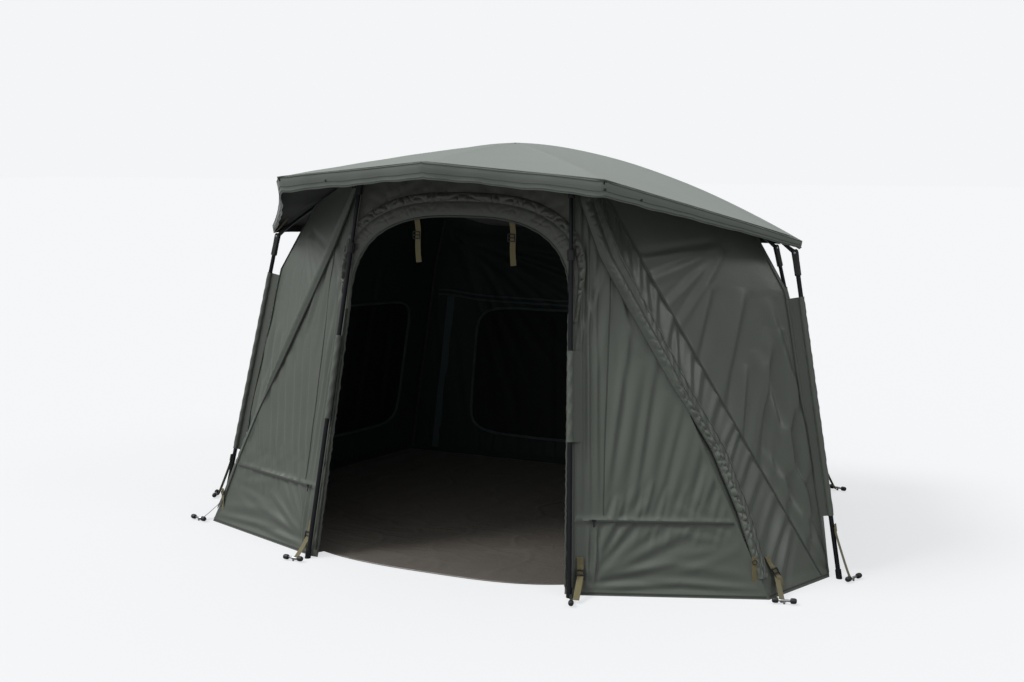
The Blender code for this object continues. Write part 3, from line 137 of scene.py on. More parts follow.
class TentSizes(bpy.types.PropertyGroup):
    """Sizes of the cloth work."""

    cloth: length("Cloth", "Drawn thickness of the wall cloth", 0.0009)
    fold: length("Fold depth", "Depth of the drawn folds in the walls", 0.0088)
    sag: length("Sag", "How far a wall bows in at its middle", 0.007)
    pucker: length("Pucker", "Depth of the gathers round the door and on the corner flaps", 0.0032)
    seam: length("Seam tape", "Width of the seam tape on the walls", 0.011)
    piping: length("Piping", "Radius of the piping along the eave", 0.0017)
    weave: length("Weave", "Width of a thread in the cloth's weave", 0.0011)
    webbing: length("Webbing", "Width of the straps", 0.025)


class TentColours(bpy.types.PropertyGroup):
    """Colours of the tent's materials."""

    # Roof: the same fabric as the walls, its colour lightened as painted light from above
    roof: colour("Roof", "Outside of the roof cloth", "#737a73")
    # Roof lining: the underside's colour, darkened as painted shade
    under: colour("Roof lining", "Underside of the roof cloth", "#383c36")
    wall: colour("Wall", "Outside of the wall cloth", "#4c5149")
    # Inside: the inner face's colour, darkened as painted shade
    inside: colour("Inside", "Inner face of the wall cloth, darkened as painted shade", "#262f2f")
    band: colour("Door band", "Gathered band round the doorway", "#50524a")
    floor: colour("Groundsheet", "Heavy groundsheet", "#565049")
    web: colour("Webbing", "Olive webbing", "#6a6242")
    tube: colour("Tube", "Satin black poles", "#1b1c20")
    nylon: colour("Nylon", "Moulded knuckles, buckles and knobs", "#1a1a1b")
    steel: colour("Steel", "Bare pegs and rivets", "#a3a5a6")


def sizes():
    return bpy.context.scene.tent_sizes


def colours():
    return bpy.context.scene.tent_colours


# Vectors
def unit(values):
    """Vectors at length 1."""
    values = np.asarray(values, dtype=float)
    return values / np.maximum(np.linalg.norm(values, axis=-1, keepdims=True), 1e-12)


def lerp(a, b, share):
    """Value or point at a share of the way from a to b."""
    return a + (b - a) * share


def away(points):
    """Level unit directions from the hub's axis out to points."""
    return unit((points - HUB) * FLAT)


def place(half, back, height=0.0):
    """Point at a distance to the side, a distance back from the front line and a height."""
    return np.array([half, FRONT_Y + back, height])


def ease(value, low, high):
    """Smooth step of a value from 0 at low to 1 at high."""
    t = np.clip((value - low) / (high - low), 0, 1)
    return t * t * (3 - 2 * t)


def bell(value, width):
    """Bell curve: 1 at 0, falling off over a width to both sides."""
    return np.exp(-((value / width) ** 2))


def turns_of(count):
    """Angles spread evenly round a full turn."""
    return 2 * np.pi * np.arange(count) / count


def over_all(values, shape):
    """One value or vector, or a row of them, repeated over a shape."""
    return np.broadcast_to(np.asarray(values, dtype=float), shape)


def square_to(ahead, hint):
    """Unit directions square to those ahead and near a hint."""
    return unit(hint - ahead * (ahead * hint).sum(-1, keepdims=True))


def soft_limit(values, limit, softness):
    """Values bent smoothly so that they stay below a limit."""
    room = limit - values
    return limit - (room + np.hypot(room, softness)) / 2


def run_along(points):
    """Distance along a line of points at each of them."""
    return np.concatenate([[0], np.cumsum(np.linalg.norm(np.diff(points, axis=0), axis=1))])


# The roof's form
def over_knuckle(half, back, height):
    """Roof corner just outside and above a knuckle."""
    point = place(half, back, height)
    return point + away(point) * 0.024 + UP * 0.046


def ribs():
    """Tips, bows and the band's depths of the ribs, round from the front peak over the right side."""
    right = [place(*FRONT_TIP), over_knuckle(*KNUCKLES["side"]), over_knuckle(*KNUCKLES["rear"])]
    tips = [place(*PEAK), *right, *(tip * MIRROR for tip in right[::-1])]
    bows = [1.20, 1.25, 1.76, 1.65, 1.65, 1.76, 1.25]
    drops = [0.062, 0.062, 0.030, 0.030, 0.030, 0.030, 0.062]
    return np.array(tips), np.array(bows), np.array(drops)


TIPS, BOWS, DROPS = ribs()


def next_rib(panel):
    """Number of the rib on the far side of a panel."""
    return (panel + 1) % len(TIPS)


def rib_height(rib, out):
    """Height of a rib's underside at a share out from the hub."""
    return HUB_HEIGHT - (HUB_HEIGHT - TIPS[rib, 2]) * np.maximum(out, 0) ** BOWS[rib]


def panel_height(panel, out, across):
    """Height of the underside: blended between two ribs, less a dip that is greatest two thirds out."""
    dip = PANEL_DIP * 27 * across * (1 - across) * out**2 * (1 - out)
    return lerp(rib_height(panel, out), rib_height(next_rib(panel), out), across) - dip


def roof_surface(turn, reach):
    """Underside of the roof. turn counts ribs round from the peak, reach runs 0 to 1 from the hub out."""
    panel = np.floor(turn).astype(int) % len(TIPS)
    across = turn - np.floor(turn)
    out = reach * (1 - EDGE_CUT * 4 * across * (1 - across))
    points = HUB + out[..., None] * lerp(TIPS[panel] - HUB, TIPS[next_rib(panel)] - HUB, across[..., None])
    points[..., 2] = panel_height(panel, out, across)
    return points


def roof_height(points):
    """Height of the roof's underside over places in the plan, found in the panel that holds them."""
    target = (points - HUB)[..., :2]
    best = np.full(target.shape[:-1], -np.inf)
    height = np.zeros(target.shape[:-1])
    for panel in range(len(TIPS)):
        pair = np.column_stack([(TIPS[panel] - HUB)[:2], (TIPS[next_rib(panel)] - HUB)[:2]])
        shares = target @ np.linalg.inv(pair).T
        out = shares.sum(-1)
        across = shares[..., 1] / np.where(np.abs(out) < 1e-9, 1, out)
        inside = shares.min(-1)
        height = np.where(inside > best, panel_height(panel, out, across), height)
        best = np.maximum(best, inside)
    return height


def below_roof(points):
    """The same places, just under the roof's underside."""
    points = np.array(points, dtype=float)
    points[..., 2] = roof_height(points) - UNDER_ROOF
    return points


# The walls' form
def wall_places():
    """Corners of the walls' outer faces on the right side."""
    p = {"door_foot": place(0.599, 0.028), "corner_foot": place(1.314, 0.293)}
    tops = {}
    for name in ("side", "rear"):
        foot, knuckle = place(*FEET[name]), place(*KNUCKLES[name])
        tops[name] = knuckle - away(knuckle) * KNUCKLE_IN
        p[name + "_foot"] = foot - away(foot) * FOOT_IN
        p[name + "_low"] = lerp(p[name + "_foot"], tops[name], 1 - CORNER_GAP / tops[name][2])
        p[name + "_tie"] = below_roof(knuckle - away(knuckle) * TIE_IN) - UP * TIE_DROP
    rib = (TIPS[1] - HUB)[:2]
    reach = (place(0.481, 0.299) - HUB)[:2] @ rib / (rib @ rib)
    door_top = HUB + reach * (TIPS[1] - HUB) * FLAT + np.array([0, 0.028, 0])
    run = tops["side"] - door_top
    for name, share in (("door_top", 0), ("flap_top", 0.055), ("seam_top", 0.088)):
        p[name] = below_roof(door_top + run * share)
    p["seam_foot"] = lerp(p["corner_foot"], p["side_foot"], 0.90)
    return p


RIGHT = wall_places()
LEFT = {name: point * MIRROR for name, point in RIGHT.items()}
PLACES = {1: RIGHT, -1: LEFT}


def line(points, counts):
    """Points spread evenly along each stretch between the given points."""
    out = [np.array(points[0])[None]]
    for a, b, count in zip(points[:-1], points[1:], counts):
        out.append(lerp(a, b, np.arange(1, count + 1)[:, None] / count))
    return np.concatenate(out)


def eave_line(a, b, count, bow=0.0):
    """Sweep under the roof, bowed out between its ends, easing down to an end that is tied lower."""
    points = line([a, b], [count])
    from_end = np.minimum(np.linalg.norm(points - a, axis=1), np.linalg.norm(points - b, axis=1))
    points = points + away(points) * (bow * ease(from_end, 0, 0.32))[:, None]
    points[1:-1] = below_roof(points[1:-1])
    for end in (a, b):
        low = end[2] - below_roof(end)[2]
        near = np.linalg.norm((points[1:-1] - end) * FLAT, axis=1)
        points[1:-1, 2] += low * bell(near, 0.05)
    return points


def patch(left, right, bottom, top):
    """Surface blended between four edge lines, rows from the bottom up."""
    v = np.linspace(0, 1, len(left))[:, None, None]
    u = np.linspace(0, 1, len(bottom))[None, :, None]
    sides = (1 - u) * left[:, None] + u * right[:, None] + (1 - v) * bottom[None] + v * top[None]
    corners = (1 - u) * (1 - v) * left[0] + u * (1 - v) * right[0]
    return sides - corners - (1 - u) * v * left[-1] - u * v * right[-1]


def rounded(edge, reach=24):
    """An edge line with its bend rounded over so many rows to each side, its ends kept."""
    before, after = 2 * edge[0] - edge[reach:0:-1], 2 * edge[-1] - edge[-2 : -reach - 2 : -1]
    padded = np.concatenate([before, edge, after])
    weights = np.hanning(2 * reach + 1)
    weights = weights / weights.sum()
    return np.stack([np.convolve(padded[:, k], weights, "valid") for k in range(3)], -1)


def bent_patch(left, right, bottom, top):
    """A patch whose edges keep their sharp bend while the cloth between them is bent softly."""
    soft_left, soft_right = rounded(left), rounded(right)
    u = np.linspace(0, 1, len(bottom))[None, :, None]
    grid = patch(soft_left, soft_right, bottom, top)
    return grid + (left - soft_left)[:, None] * (1 - u) ** 6 + (right - soft_right)[:, None] * u**6


def at_height(low, high, height):
    """Point at a height on the line from a foot on the ground to a top."""
    return lerp(low, high, height / high[2])


def sample(grid, u, v):
    """Points of a grid at shares u across and v up, blended from the nearest four."""
    rows, columns = grid.shape[:2]
    x = np.clip(np.asarray(u, dtype=float), 0, 1) * (columns - 1)
    y = np.clip(np.asarray(v, dtype=float), 0, 1) * (rows - 1)
    j = np.minimum(x.astype(int), columns - 2)
    i = np.minimum(y.astype(int), rows - 2)
    s, t = (x - j)[..., None], (y - i)[..., None]
    low = lerp(grid[i, j], grid[i, j + 1], s)
    return lerp(low, lerp(grid[i + 1, j], grid[i + 1, j + 1], s), t)


# Folds
def creases(along, height, marks):
    """Sum of drawn folds. Each runs from one point to another with a width and a height: across it the
    cloth rises as a bell beside a shallower trough, and lengthwise it fades in and out as a half sine."""
    total = np.zeros_like(along)
    for s0, z0, s1, z1, width, rise in marks:
        ds, dz = s1 - s0, z1 - z0
        span = math.hypot(ds, dz)
        t = ((along - s0) * ds + (height - z0) * dz) / span**2
        d = ((along - s0) * dz - (height - z0) * ds) / span / width
        fade = np.sin(np.pi * np.clip(t, 0, 1)) ** 0.6
        total += rise * fade * (bell(d, 1) - 0.7 * bell(d - 1.6, 1))
    return total


def fan(at, angles, reach, width, rise, seed, start=0.02):
    """Folds that spread from a point, one for each angle in degrees, each a little uneven."""
    rng = np.random.default_rng(seed)
    out = []
    for angle in angles:
        turn = math.radians(angle + rng.uniform(-2.5, 2.5))
        far = reach * rng.uniform(0.75, 1.1)
        way = np.array([math.cos(turn), math.sin(turn)])
        a, b = at + way * start, at + way * far
        out.append((*a, *b, width * rng.uniform(0.8, 1.3), rise * rng.uniform(0.6, 1.15)))
    return out


def ripples(along, height, seed, low, high, count=9):
    """Soft unevenness: a sum of plane waves whose lengths lie between low and high."""
    rng = np.random.default_rng(seed)
    total = 0
    for _ in range(count):
        turn, size, phase = rng.uniform(0, math.pi), rng.uniform(low, high), rng.uniform(0, 6.28)
        across = along * math.cos(turn) + height * math.sin(turn)
        total = total + np.sin(across * 2 * math.pi / size + phase)
    return total / count**0.5


def crumples(along, height, seed, low, high):
    """Pillows between sharp creases that run every way, from -1 in a crease to 1.4 on a pillow."""
    return 2 * np.minimum(np.abs(ripples(along, height, seed, low, high, 12)), 1.3) ** 0.7 - 1


def gathers(phase):
    """Rounded ridges with sharp creases between them, from -1 in a crease to 1 on a ridge."""
    return 2 * np.abs(np.sin(phase / 2)) ** 0.55 - 1


def edge_fade(rows, columns, margin=0.03):
    """1 over a grid, easing to 0 along its four edges."""
    v = np.linspace(0, 1, rows)[:, None]
    u = np.linspace(0, 1, columns)[None]
    return ease(np.minimum(u, 1 - u), 0, margin) * ease(np.minimum(v, 1 - v), 0, margin)


def drawn(grid, marks, seed, roughness=0.0011):
    """A wall panel with its sag, folds and unevenness, moved level towards or from the hub."""
    base = unit((grid[0, -1] - grid[0, 0]) * FLAT)
    along = (grid - grid[0, 0]) @ base
    height = grid[..., 2]
    rows, columns = grid.shape[:2]
    v = np.linspace(0, 1, rows)[:, None]
    u = np.linspace(0, 1, columns)[None]
    depth = creases(along, height, marks) + roughness * ripples(along, height, seed, 0.10, 0.45)
    depth = depth - sizes().sag * (4 * u * (1 - u)) ** 0.8 * (4 * v * (1 - v)) ** 0.5 - SET_BACK
    depth = soft_limit(depth, BULGE, BULGE_SOFTNESS) * edge_fade(rows, columns)
    return grid + away(grid) * depth[..., None]


# Shells: points, lists of faces with their slots, and UVs in metres
def quads(rows, columns, start=0, around=False):
    """Faces of a grid of points whose numbers begin at start."""
    i = np.arange(rows - 1)[:, None]
    j = np.arange(columns if around else columns - 1)[None]
    a = start + i * columns + j
    b = start + i * columns + (j + 1) % columns
    return np.stack([a, b, b + columns, a + columns], -1).reshape(-1, 4)


def rim(loop, count):
    """Quads that join a loop of outer points to the same loop on the inner grid."""
    after = np.roll(loop, -1)
    return np.stack([after, loop, loop + count, after + count], -1)


def metric_uv(grid):
    """Distances along rows and columns of a grid, as one flat cut."""
    across = np.linalg.norm(np.diff(grid, axis=1), axis=2).mean(0)
    upward = np.linalg.norm(np.diff(grid, axis=0), axis=2).mean(1)
    u = np.concatenate([[0], np.cumsum(across)])
    v = np.concatenate([[0], np.cumsum(upward)])
    return np.stack(np.meshgrid(u, v), -1).reshape(-1, 2)


def closed(outer, inner, around=False, front=0, back=0):
    """Closed body between two like grids; around means that each row is a ring."""
    rows, columns = outer.shape[:2]
    count = rows * columns
    faces = [quads(rows, columns, 0, around), quads(rows, columns, count, around)[:, ::-1]]
    first, last = np.arange(columns), (rows - 1) * columns + np.arange(columns)[::-1]
    if around:
        faces += [rim(first, count), rim(last, count)]
    else:
        left = np.arange(1, rows - 1)[::-1] * columns
        right = np.arange(1, rows - 1) * columns + columns - 1
        faces.append(rim(np.concatenate([first, right, last, left]), count))
    uv = metric_uv(outer)
    slots = [front, back] + [front] * (len(faces) - 2)
    return np.concatenate([outer.reshape(-1, 3), inner.reshape(-1, 3)]), faces, np.tile(uv, (2, 1)), slots


def sections(rings, slot=0):
    """Closed body through rings of like point counts, with a cap at each end."""
    rings = np.array(rings)
    rows, columns = rings.shape[:2]
    last = (rows - 1) * columns
    caps = [np.arange(columns)[None, ::-1], last + np.arange(columns)[None]]
    faces = [quads(rows, columns, 0, True)] + caps
    return rings.reshape(-1, 3), faces, metric_uv(rings), [slot] * 3


def path_frames(points, hint, ring_shaped=False):
    """Directions along a path, and two square to it, the first near the hint."""
    if ring_shaped:
        ahead = unit(np.roll(points, -1, axis=0) - np.roll(points, 1, axis=0))
    else:
        ahead = unit(np.gradient(points, axis=0))
    first = square_to(ahead, hint)
    return ahead, first, np.cross(ahead, first)


def rope(points, radius, sides=8, hint=UP, ring_shaped=False, flat=1.0, slot=0):
    """Round bar along a path; flat shortens it along the second direction."""
    points = np.asarray(points, dtype=float)
    hint = over_all(hint, points.shape)
    _, first, second = path_frames(points, hint, ring_shaped)
    angles = turns_of(sides)
    radius = over_all(radius, len(points))[:, None, None]
    circle = np.cos(angles)[None, :, None] * first[:, None]
    circle = circle + np.sin(angles)[None, :, None] * second[:, None] * flat
    rings = points[:, None] + radius * circle
    if not ring_shaped:
        return sections(rings, slot)
    rows = len(points)
    faces = quads(rows + 1, sides, 0, True) % (rows * sides)
    return rings.reshape(-1, 3), [faces], metric_uv(rings), [slot]


def lathe(base, axis, profile, sides=24, slot=0, ribs=0.0):
    """Body turned about an axis from a profile of radius and distance; ribs raise every other point."""
    axis = unit(axis)
    hint = UP if abs(axis[2]) < 0.9 else RIGHTWARD
    first = unit(np.cross(hint, axis))
    second = np.cross(axis, first)
    angles = turns_of(sides)
    profile = np.array(profile)
    bump = ribs * (np.arange(sides) % 2) * (profile[:, :1] > 0.8 * profile[:, 0].max())
    spokes = np.outer(np.cos(angles), first) + np.outer(np.sin(angles), second)
    rings = base + axis * profile[:, 1][:, None, None] + spokes[None] * (profile[:, :1] + bump)[..., None]
    return sections(rings, slot)


def ribbon(points, across, width, thickness, normal=None, columns=7, crown=0.0, slot=0):
    """Flat band along a path, its width along one direction, its crown rising towards the normal."""
    points = np.asarray(points, dtype=float)
    ahead = unit(np.gradient(points, axis=0))
    across = square_to(ahead, over_all(across, points.shape))
    if normal is None:
        normal = np.cross(ahead, across)
    normal = over_all(normal, points.shape)
    t = np.linspace(-1, 1, columns)[None, :, None]
    width, thickness = (over_all(size, len(points))[:, None, None] for size in (width, thickness))
    edge = 1 - 0.35 * np.abs(t) ** 8
    middle = points[:, None] + across[:, None] * width / 2 * t
    rise = normal[:, None] * (thickness / 2 * edge + crown * (1 - t**2))
    fall = normal[:, None] * (thickness / 2 * edge - crown * (1 - t**2))
    return closed(middle + rise, middle - fall, front=slot, back=slot)


def piece(name, shells, looks):
    """One object from shells, with outward faces, UVs in metres, smooth faces and sharp edges kept."""
    points, faces, uvs, slots, start = [], [], [], [], 0
    for shell_points, groups, uv, shell_slots in shells:
        fans = [
            np.stack([group[:, 0], group[:, k], group[:, k + 1]], -1)
            for group in groups
            for k in range(1, group.shape[1] - 1)
        ]
        triangles = np.concatenate(fans)
        a, b, c = (shell_points[triangles[:, k]] - shell_points.mean(0) for k in range(3))
        inside_out = (a * np.cross(b, c)).sum() < 0
        for group, number in zip(groups, shell_slots):
            group = group[:, ::-1] if inside_out else group
            faces += (group + start).tolist()
            slots += [number] * len(group)
        points.append(shell_points)
        uvs.append(uv)
        start += len(shell_points)
    mesh = bpy.data.meshes.new(name)
    mesh.from_pydata(np.concatenate(points).tolist(), [], faces)
    mesh.polygons.foreach_set("material_index", slots)
    corners = np.zeros(len(mesh.loops), dtype=np.int32)
    mesh.loops.foreach_get("vertex_index", corners)
    layer = mesh.uv_layers.new(name=CUT)
    layer.uv.foreach_set("vector", np.concatenate(uvs)[corners].astype(np.float32).ravel())
    for look in looks:
        mesh.materials.append(stuff(look))
    mesh.shade_smooth()
    mesh.set_sharp_from_angle(angle=math.radians(SHARP_ANGLE))
    mesh.validate()
    made = bpy.data.objects.new(name, mesh)
    bpy.context.scene.collection.objects.link(made)
    return made


def follow(item):
    """Cloth between the ground and the roof: it stays with the ground below and goes with the roof above."""
    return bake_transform(item)


def trim(name, shells, look="seam"):
    """Seams, frames and bindings, which go with the wall cloth."""
    return follow(piece(name, shells, [look]))


def wall_sheet(name, stands_for, shell, looks=("wall", "inside")):
    """Cloth in place of a sheet of the frame, from the ground up to the roof."""
    item = piece(name, [shell], looks)
    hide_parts(stands_for)
    return follow(item)


def fitting(name, shells, looks, body, stands_for=None):
    """A piece that goes with one body, in place of a piece of the frame where one is named."""
    item = piece(name, shells, looks)
    if stands_for:
        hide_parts(stands_for)
    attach(item, body)
    return item


def cut_area(grid):
    """Area of a grid's quads."""
    a = grid[1:, 1:] - grid[:-1, :-1]
    b = grid[1:, :-1] - grid[:-1, 1:]
    return float(np.linalg.norm(np.cross(a, b), axis=-1).sum() / 2)


def declare(grids):
    """State a stretched piece's flat cut from its unfolded grids, joined side by side."""
    area = sum(cut_area(g) for g in grids)
    width = sum(float(np.linalg.norm(np.diff(g, axis=1), axis=2).sum(1).max()) for g in grids)
    height = max(float(np.linalg.norm(np.diff(g, axis=0), axis=2).sum(0).max()) for g in grids)
    area = min(area, width * height)


# Materials
def node(tree, kind, settings=None, **links):
    """Add a node. settings go to inputs by name or to attributes, links join inputs to sockets."""
    made = tree.nodes.new(kind)
    for name, value in (settings or {}).items():
        if name in made.inputs:
            made.inputs[name].default_value = value
        else:
            setattr(made, name, value)
    for name, socket in links.items():
        key = int(name[1:]) if name[0] == "i" and name[1:].isdigit() else name.replace("_", " ")
        tree.links.new(made.inputs[key], socket)
    return made


def new_material(name):
    """An empty material and its tree."""
    made = bpy.data.materials.new(name)
    made.use_nodes = True
    made.node_tree.nodes.clear()
    return made, made.node_tree


def finish(tree, settings, **links):
    """The material's shader, joined to its output."""
    shader = node(tree, "ShaderNodeBsdfPrincipled", settings, **links)
    node(tree, "ShaderNodeOutputMaterial", Surface=shader.outputs[0])
    return shader


def maths(tree, operation, first, second):
    """Result of an operation on two sockets or plain numbers."""
    made = node(tree, "ShaderNodeMath", {"operation": operation})
    for socket, value in zip(made.inputs, (first, second)):
        if isinstance(value, float):
            socket.default_value = value
        else:
            tree.links.new(socket, value)
    return made.outputs[0]


def wave(tree, direction, pitch, where, distortion=0.0):
    """Fine stripes along a direction of the flat cut, each light or dark one as wide as the pitch."""
    settings = {"bands_direction": direction, "Scale": WAVE_SCALE / pitch, "Distortion": distortion}
    return node(tree, "ShaderNodeTexWave", settings, Vector=where).outputs["Fac"]


def noise(tree, where, scale, detail, roughness=0.5, distortion=0.0):
    """Soft random values from 0 to 1."""
    settings = {"Scale": scale, "Detail": detail, "Roughness": roughness, "Distortion": distortion}
    return node(tree, "ShaderNodeTexNoise", settings, Vector=where).outputs[0]


def bump(tree, strength, distance, height, **links):
    """Normal of a relief whose full height is a distance in metres."""
    settings = {"Strength": strength, "Distance": distance}
    return node(tree, "ShaderNodeBump", settings, Height=height, **links).outputs[0]


def spread(tree, value, low, high, start=0.0, end=1.0):
    """A value between start and end, laid over the range from low to high."""
    settings = {"From Min": start, "From Max": end, "To Min": low, "To Max": high}
    return node(tree, "ShaderNodeMapRange", settings, Value=value).outputs[0]


def tinted(tree, base, amount, factor):
    """The base colour, lighter and darker by an amount as a factor goes from 0 to 1."""
    mix = node(tree, "ShaderNodeMix", {"data_type": "RGBA"})
    mix.inputs[6].default_value = tuple(c * (1 - amount) for c in base) + (1,)
    mix.inputs[7].default_value = tuple(min(1, c * (1 + amount)) for c in base) + (1,)
    tree.links.new(mix.inputs[0], factor)
    return mix.outputs[2]


def flat_cut(tree):
    """Place on the flat cut, in metres."""
    return node(tree, "ShaderNodeUVMap", {"uv_map": CUT}).outputs[0]


def in_space(tree):
    """Place on the object, in metres."""
    return node(tree, "ShaderNodeTexCoord").outputs["Object"]


def cloth(name, base, rough, weave=1, crumple=0.5, sheen=0.05, grain=0.05, gloss=0.5):
    """Coated woven cloth: a plain weave and faint crumples in the bump, uneven colour and shine."""
    made, tree = new_material(name)
    cut, where = flat_cut(tree), in_space(tree)
    threads = [wave(tree, direction, weave * sizes().weave, cut, 0.6) for direction in ("X", "Y")]
    woven = maths(tree, "MULTIPLY", *threads)
    broad = noise(tree, where, 5.0, 3.0, 0.55)
    fine = noise(tree, where, 55.0, 4.0, 0.6, 0.8)
    shade = maths(tree, "MULTIPLY", maths(tree, "ADD", broad, woven), 0.5)
    weave_relief = bump(tree, 0.35, 0.15 * MM, woven)
    finish(
        tree,
        {"Sheen Weight": sheen, "Specular IOR Level": gloss},
        Base_Color=tinted(tree, base, grain * 2, shade),
        Roughness=spread(tree, fine, rough - 0.07, rough + 0.09),
        Normal=bump(tree, crumple, 1.6 * MM, fine, Normal=weave_relief),
    )
    return made


def ribbed_webbing(name, base):
    """Woven webbing: fine wavy ribs across the strap, broken up lengthwise and darker between."""
    made, tree = new_material(name)
    cut = flat_cut(tree)
    woven = maths(tree, "MULTIPLY", wave(tree, "Y", 1.6 * MM, cut, 1.0), wave(tree, "X", 2.4 * MM, cut))
    finish(
        tree,
        {"Roughness": 0.82, "Sheen Weight": 0.25},
        Base_Color=tinted(tree, base, 0.28, woven),
        Normal=bump(tree, 0.7, 0.4 * MM, woven),
    )
    return made


def hard(name, base, rough, metal=0.0, grain=1.2, rise=0.12, stretch=(1, 1, 1)):
    """Moulded, painted or plated stuff: a fine grain in the bump, patchy shine, lighter worn edges."""
    made, tree = new_material(name)
    where = in_space(tree)
    stretched = node(tree, "ShaderNodeMapping", {"Scale": stretch}, Vector=where).outputs[0]
    fine = noise(tree, stretched, 1 / (grain * MM), 3.0)
    patchy = noise(tree, where, 24.0, 4.0)
    edges = node(tree, "ShaderNodeNewGeometry").outputs["Pointiness"]
    worn = spread(tree, edges, 0.0, 0.6, 0.5, 0.62)
    finish(
        tree,
        {"Metallic": metal},
        Base_Color=tinted(tree, base, 0.22, maths(tree, "ADD", patchy, worn)),
        Roughness=spread(tree, patchy, rough - 0.08, rough + 0.12),
        Normal=bump(tree, 0.4, rise * MM, fine),
    )
    return made


def stitched(name, base):
    """Seam tape: rows of stitches along it, drawn as darker dimples in the cloth."""
    made, tree = new_material(name)
    cut = flat_cut(tree)
    row = maths(tree, "POWER", wave(tree, "X", 5.5 * MM, cut), 8.0)
    dots = maths(tree, "MULTIPLY", wave(tree, "Y", 3.2 * MM, cut), row)
    between = maths(tree, "SUBTRACT", 1.0, dots)
    finish(
        tree,
        {"Roughness": 0.7, "Sheen Weight": 0.1},
        Base_Color=tinted(tree, base, 0.3, between),
        Normal=bump(tree, 0.6, 0.5 * MM, between),
    )
    return made


def shade_of(base, share):
    """A colour with a share of its light."""
    return tuple(c * share for c in base)


def stuff(name):
    """A material by its short name, made once."""
    full, make, tint, share, settings = STUFFS[name]
    base = shade_of(getattr(colours(), tint), share)
    return bpy.data.materials.get(full) or make(full, base, **settings)


# Full name, how it is made, its colour, the share of that colour's light, and its settings
STUFFS = {
    # Satin coating over a tight weave: it lights up softly at grazing angles; its colour is the wall cloth's,
    #     # lightened as painted light from above
    "roof": (
        "Coated woven polyester roof", cloth, "roof", 1,
        {"rough": 0.50, "crumple": 0.22, "sheen": 0.20, "grain": 0.03},
    ),
    # The hanging edge: the roof cloth darkened as painted shade
    "valance": (
        "Doubled roof cloth", cloth, "roof", 0.80,
        {"rough": 0.52, "crumple": 0.4, "sheen": 0.15, "grain": 0.06},
    ),
    # The roof's underside: matt and darkened as painted shade, so that the overhang reads as shadow
    "under": ("Roof lining coating", cloth, "under", 1, {"rough": 0.72, "crumple": 0.4}),
    # Matt wall cloth whose crumples catch the light
    "wall": (
        "Coated woven polyester wall", cloth, "wall", 1,
        {"rough": 0.45, "crumple": 0.35, "sheen": 0.10, "gloss": 0.7},
    ),
    # The wall cloth's inner face, darkened as painted shade so that the inside stays dark
    "inside": ("Black backed wall cloth", cloth, "inside", 1, {"rough": 0.66, "crumple": 0.6}),
    # Gathered cloth of the door band and flaps
    "band": (
        "Gathered coated polyester", cloth, "band", 1,
        {"rough": 0.50, "sheen": 0.10, "gloss": 0.6},
    ),
    # Heavy coated floor, a little browner and with deeper crumples
    "floor": (
        "Heavy coated groundsheet", cloth, "floor", 1,
        {"rough": 0.42, "weave": 2, "crumple": 0.8, "sheen": 0.10, "grain": 0.08, "gloss": 0.6},
    ),
    # Fine black mesh of the rear windows
    "mesh": ("Black insect mesh", cloth, "inside", 0.35, {"rough": 0.8, "weave": 2, "sheen": 0.0}),
    # Seam tape and zip tape with their stitches, darker than the cloth, and lighter on the lining;
    #     # the dark tape also draws the painted shadow line beside each corner flap
    "seam": ("Stitched seam tape", stitched, "wall", 0.55, {}),
    "lining seam": ("Stitched lining tape", stitched, "inside", 2.4, {}),
    # Olive straps
    "web": ("Woven olive webbing", ribbed_webbing, "web", 1, {}),
    # Satin black poles: drawn along their length
    "tube": (
        "Anodised drawn tube", hard, "tube", 1,
        {"rough": 0.36, "metal": 0.55, "grain": 0.8, "rise": 0.05, "stretch": (1, 1, 0.05)},
    ),
    # Spark-eroded black nylon
    "nylon": ("Moulded black nylon", hard, "nylon", 1, {"rough": 0.52, "grain": 0.9, "rise": 0.15}),
    # Bright plated steel, slightly scratched
    "steel": (
        "Plated drawn steel", hard, "steel", 1,
        {"rough": 0.30, "metal": 1.0, "grain": 0.5, "rise": 0.04},
    ),
}


# Roof
# Columns in a panel, rings from hub to eave, and rows of the hanging band
PER_PANEL, RINGS, BAND_ROWS = 34, 58, 14
FRONT_RIBS = (1, 6)
# Studs by their places in the plan, all in one row of the band
STUDS = ((-0.478, -1.0), (0.71, -0.95), (0.86, -0.84))
STUD_ROW = 7
# Turned profiles as pairs of radius and distance
STUD = [(0.0058, -0.4 * MM), (0.0058, 0.9 * MM), (0.0044, 2.2 * MM), (0.0004, 2.7 * MM)]
CAP = [(0.030, 0), (0.030, 1.6 * MM), (0.027, 2.6 * MM), (0.0005, 4.0 * MM)]


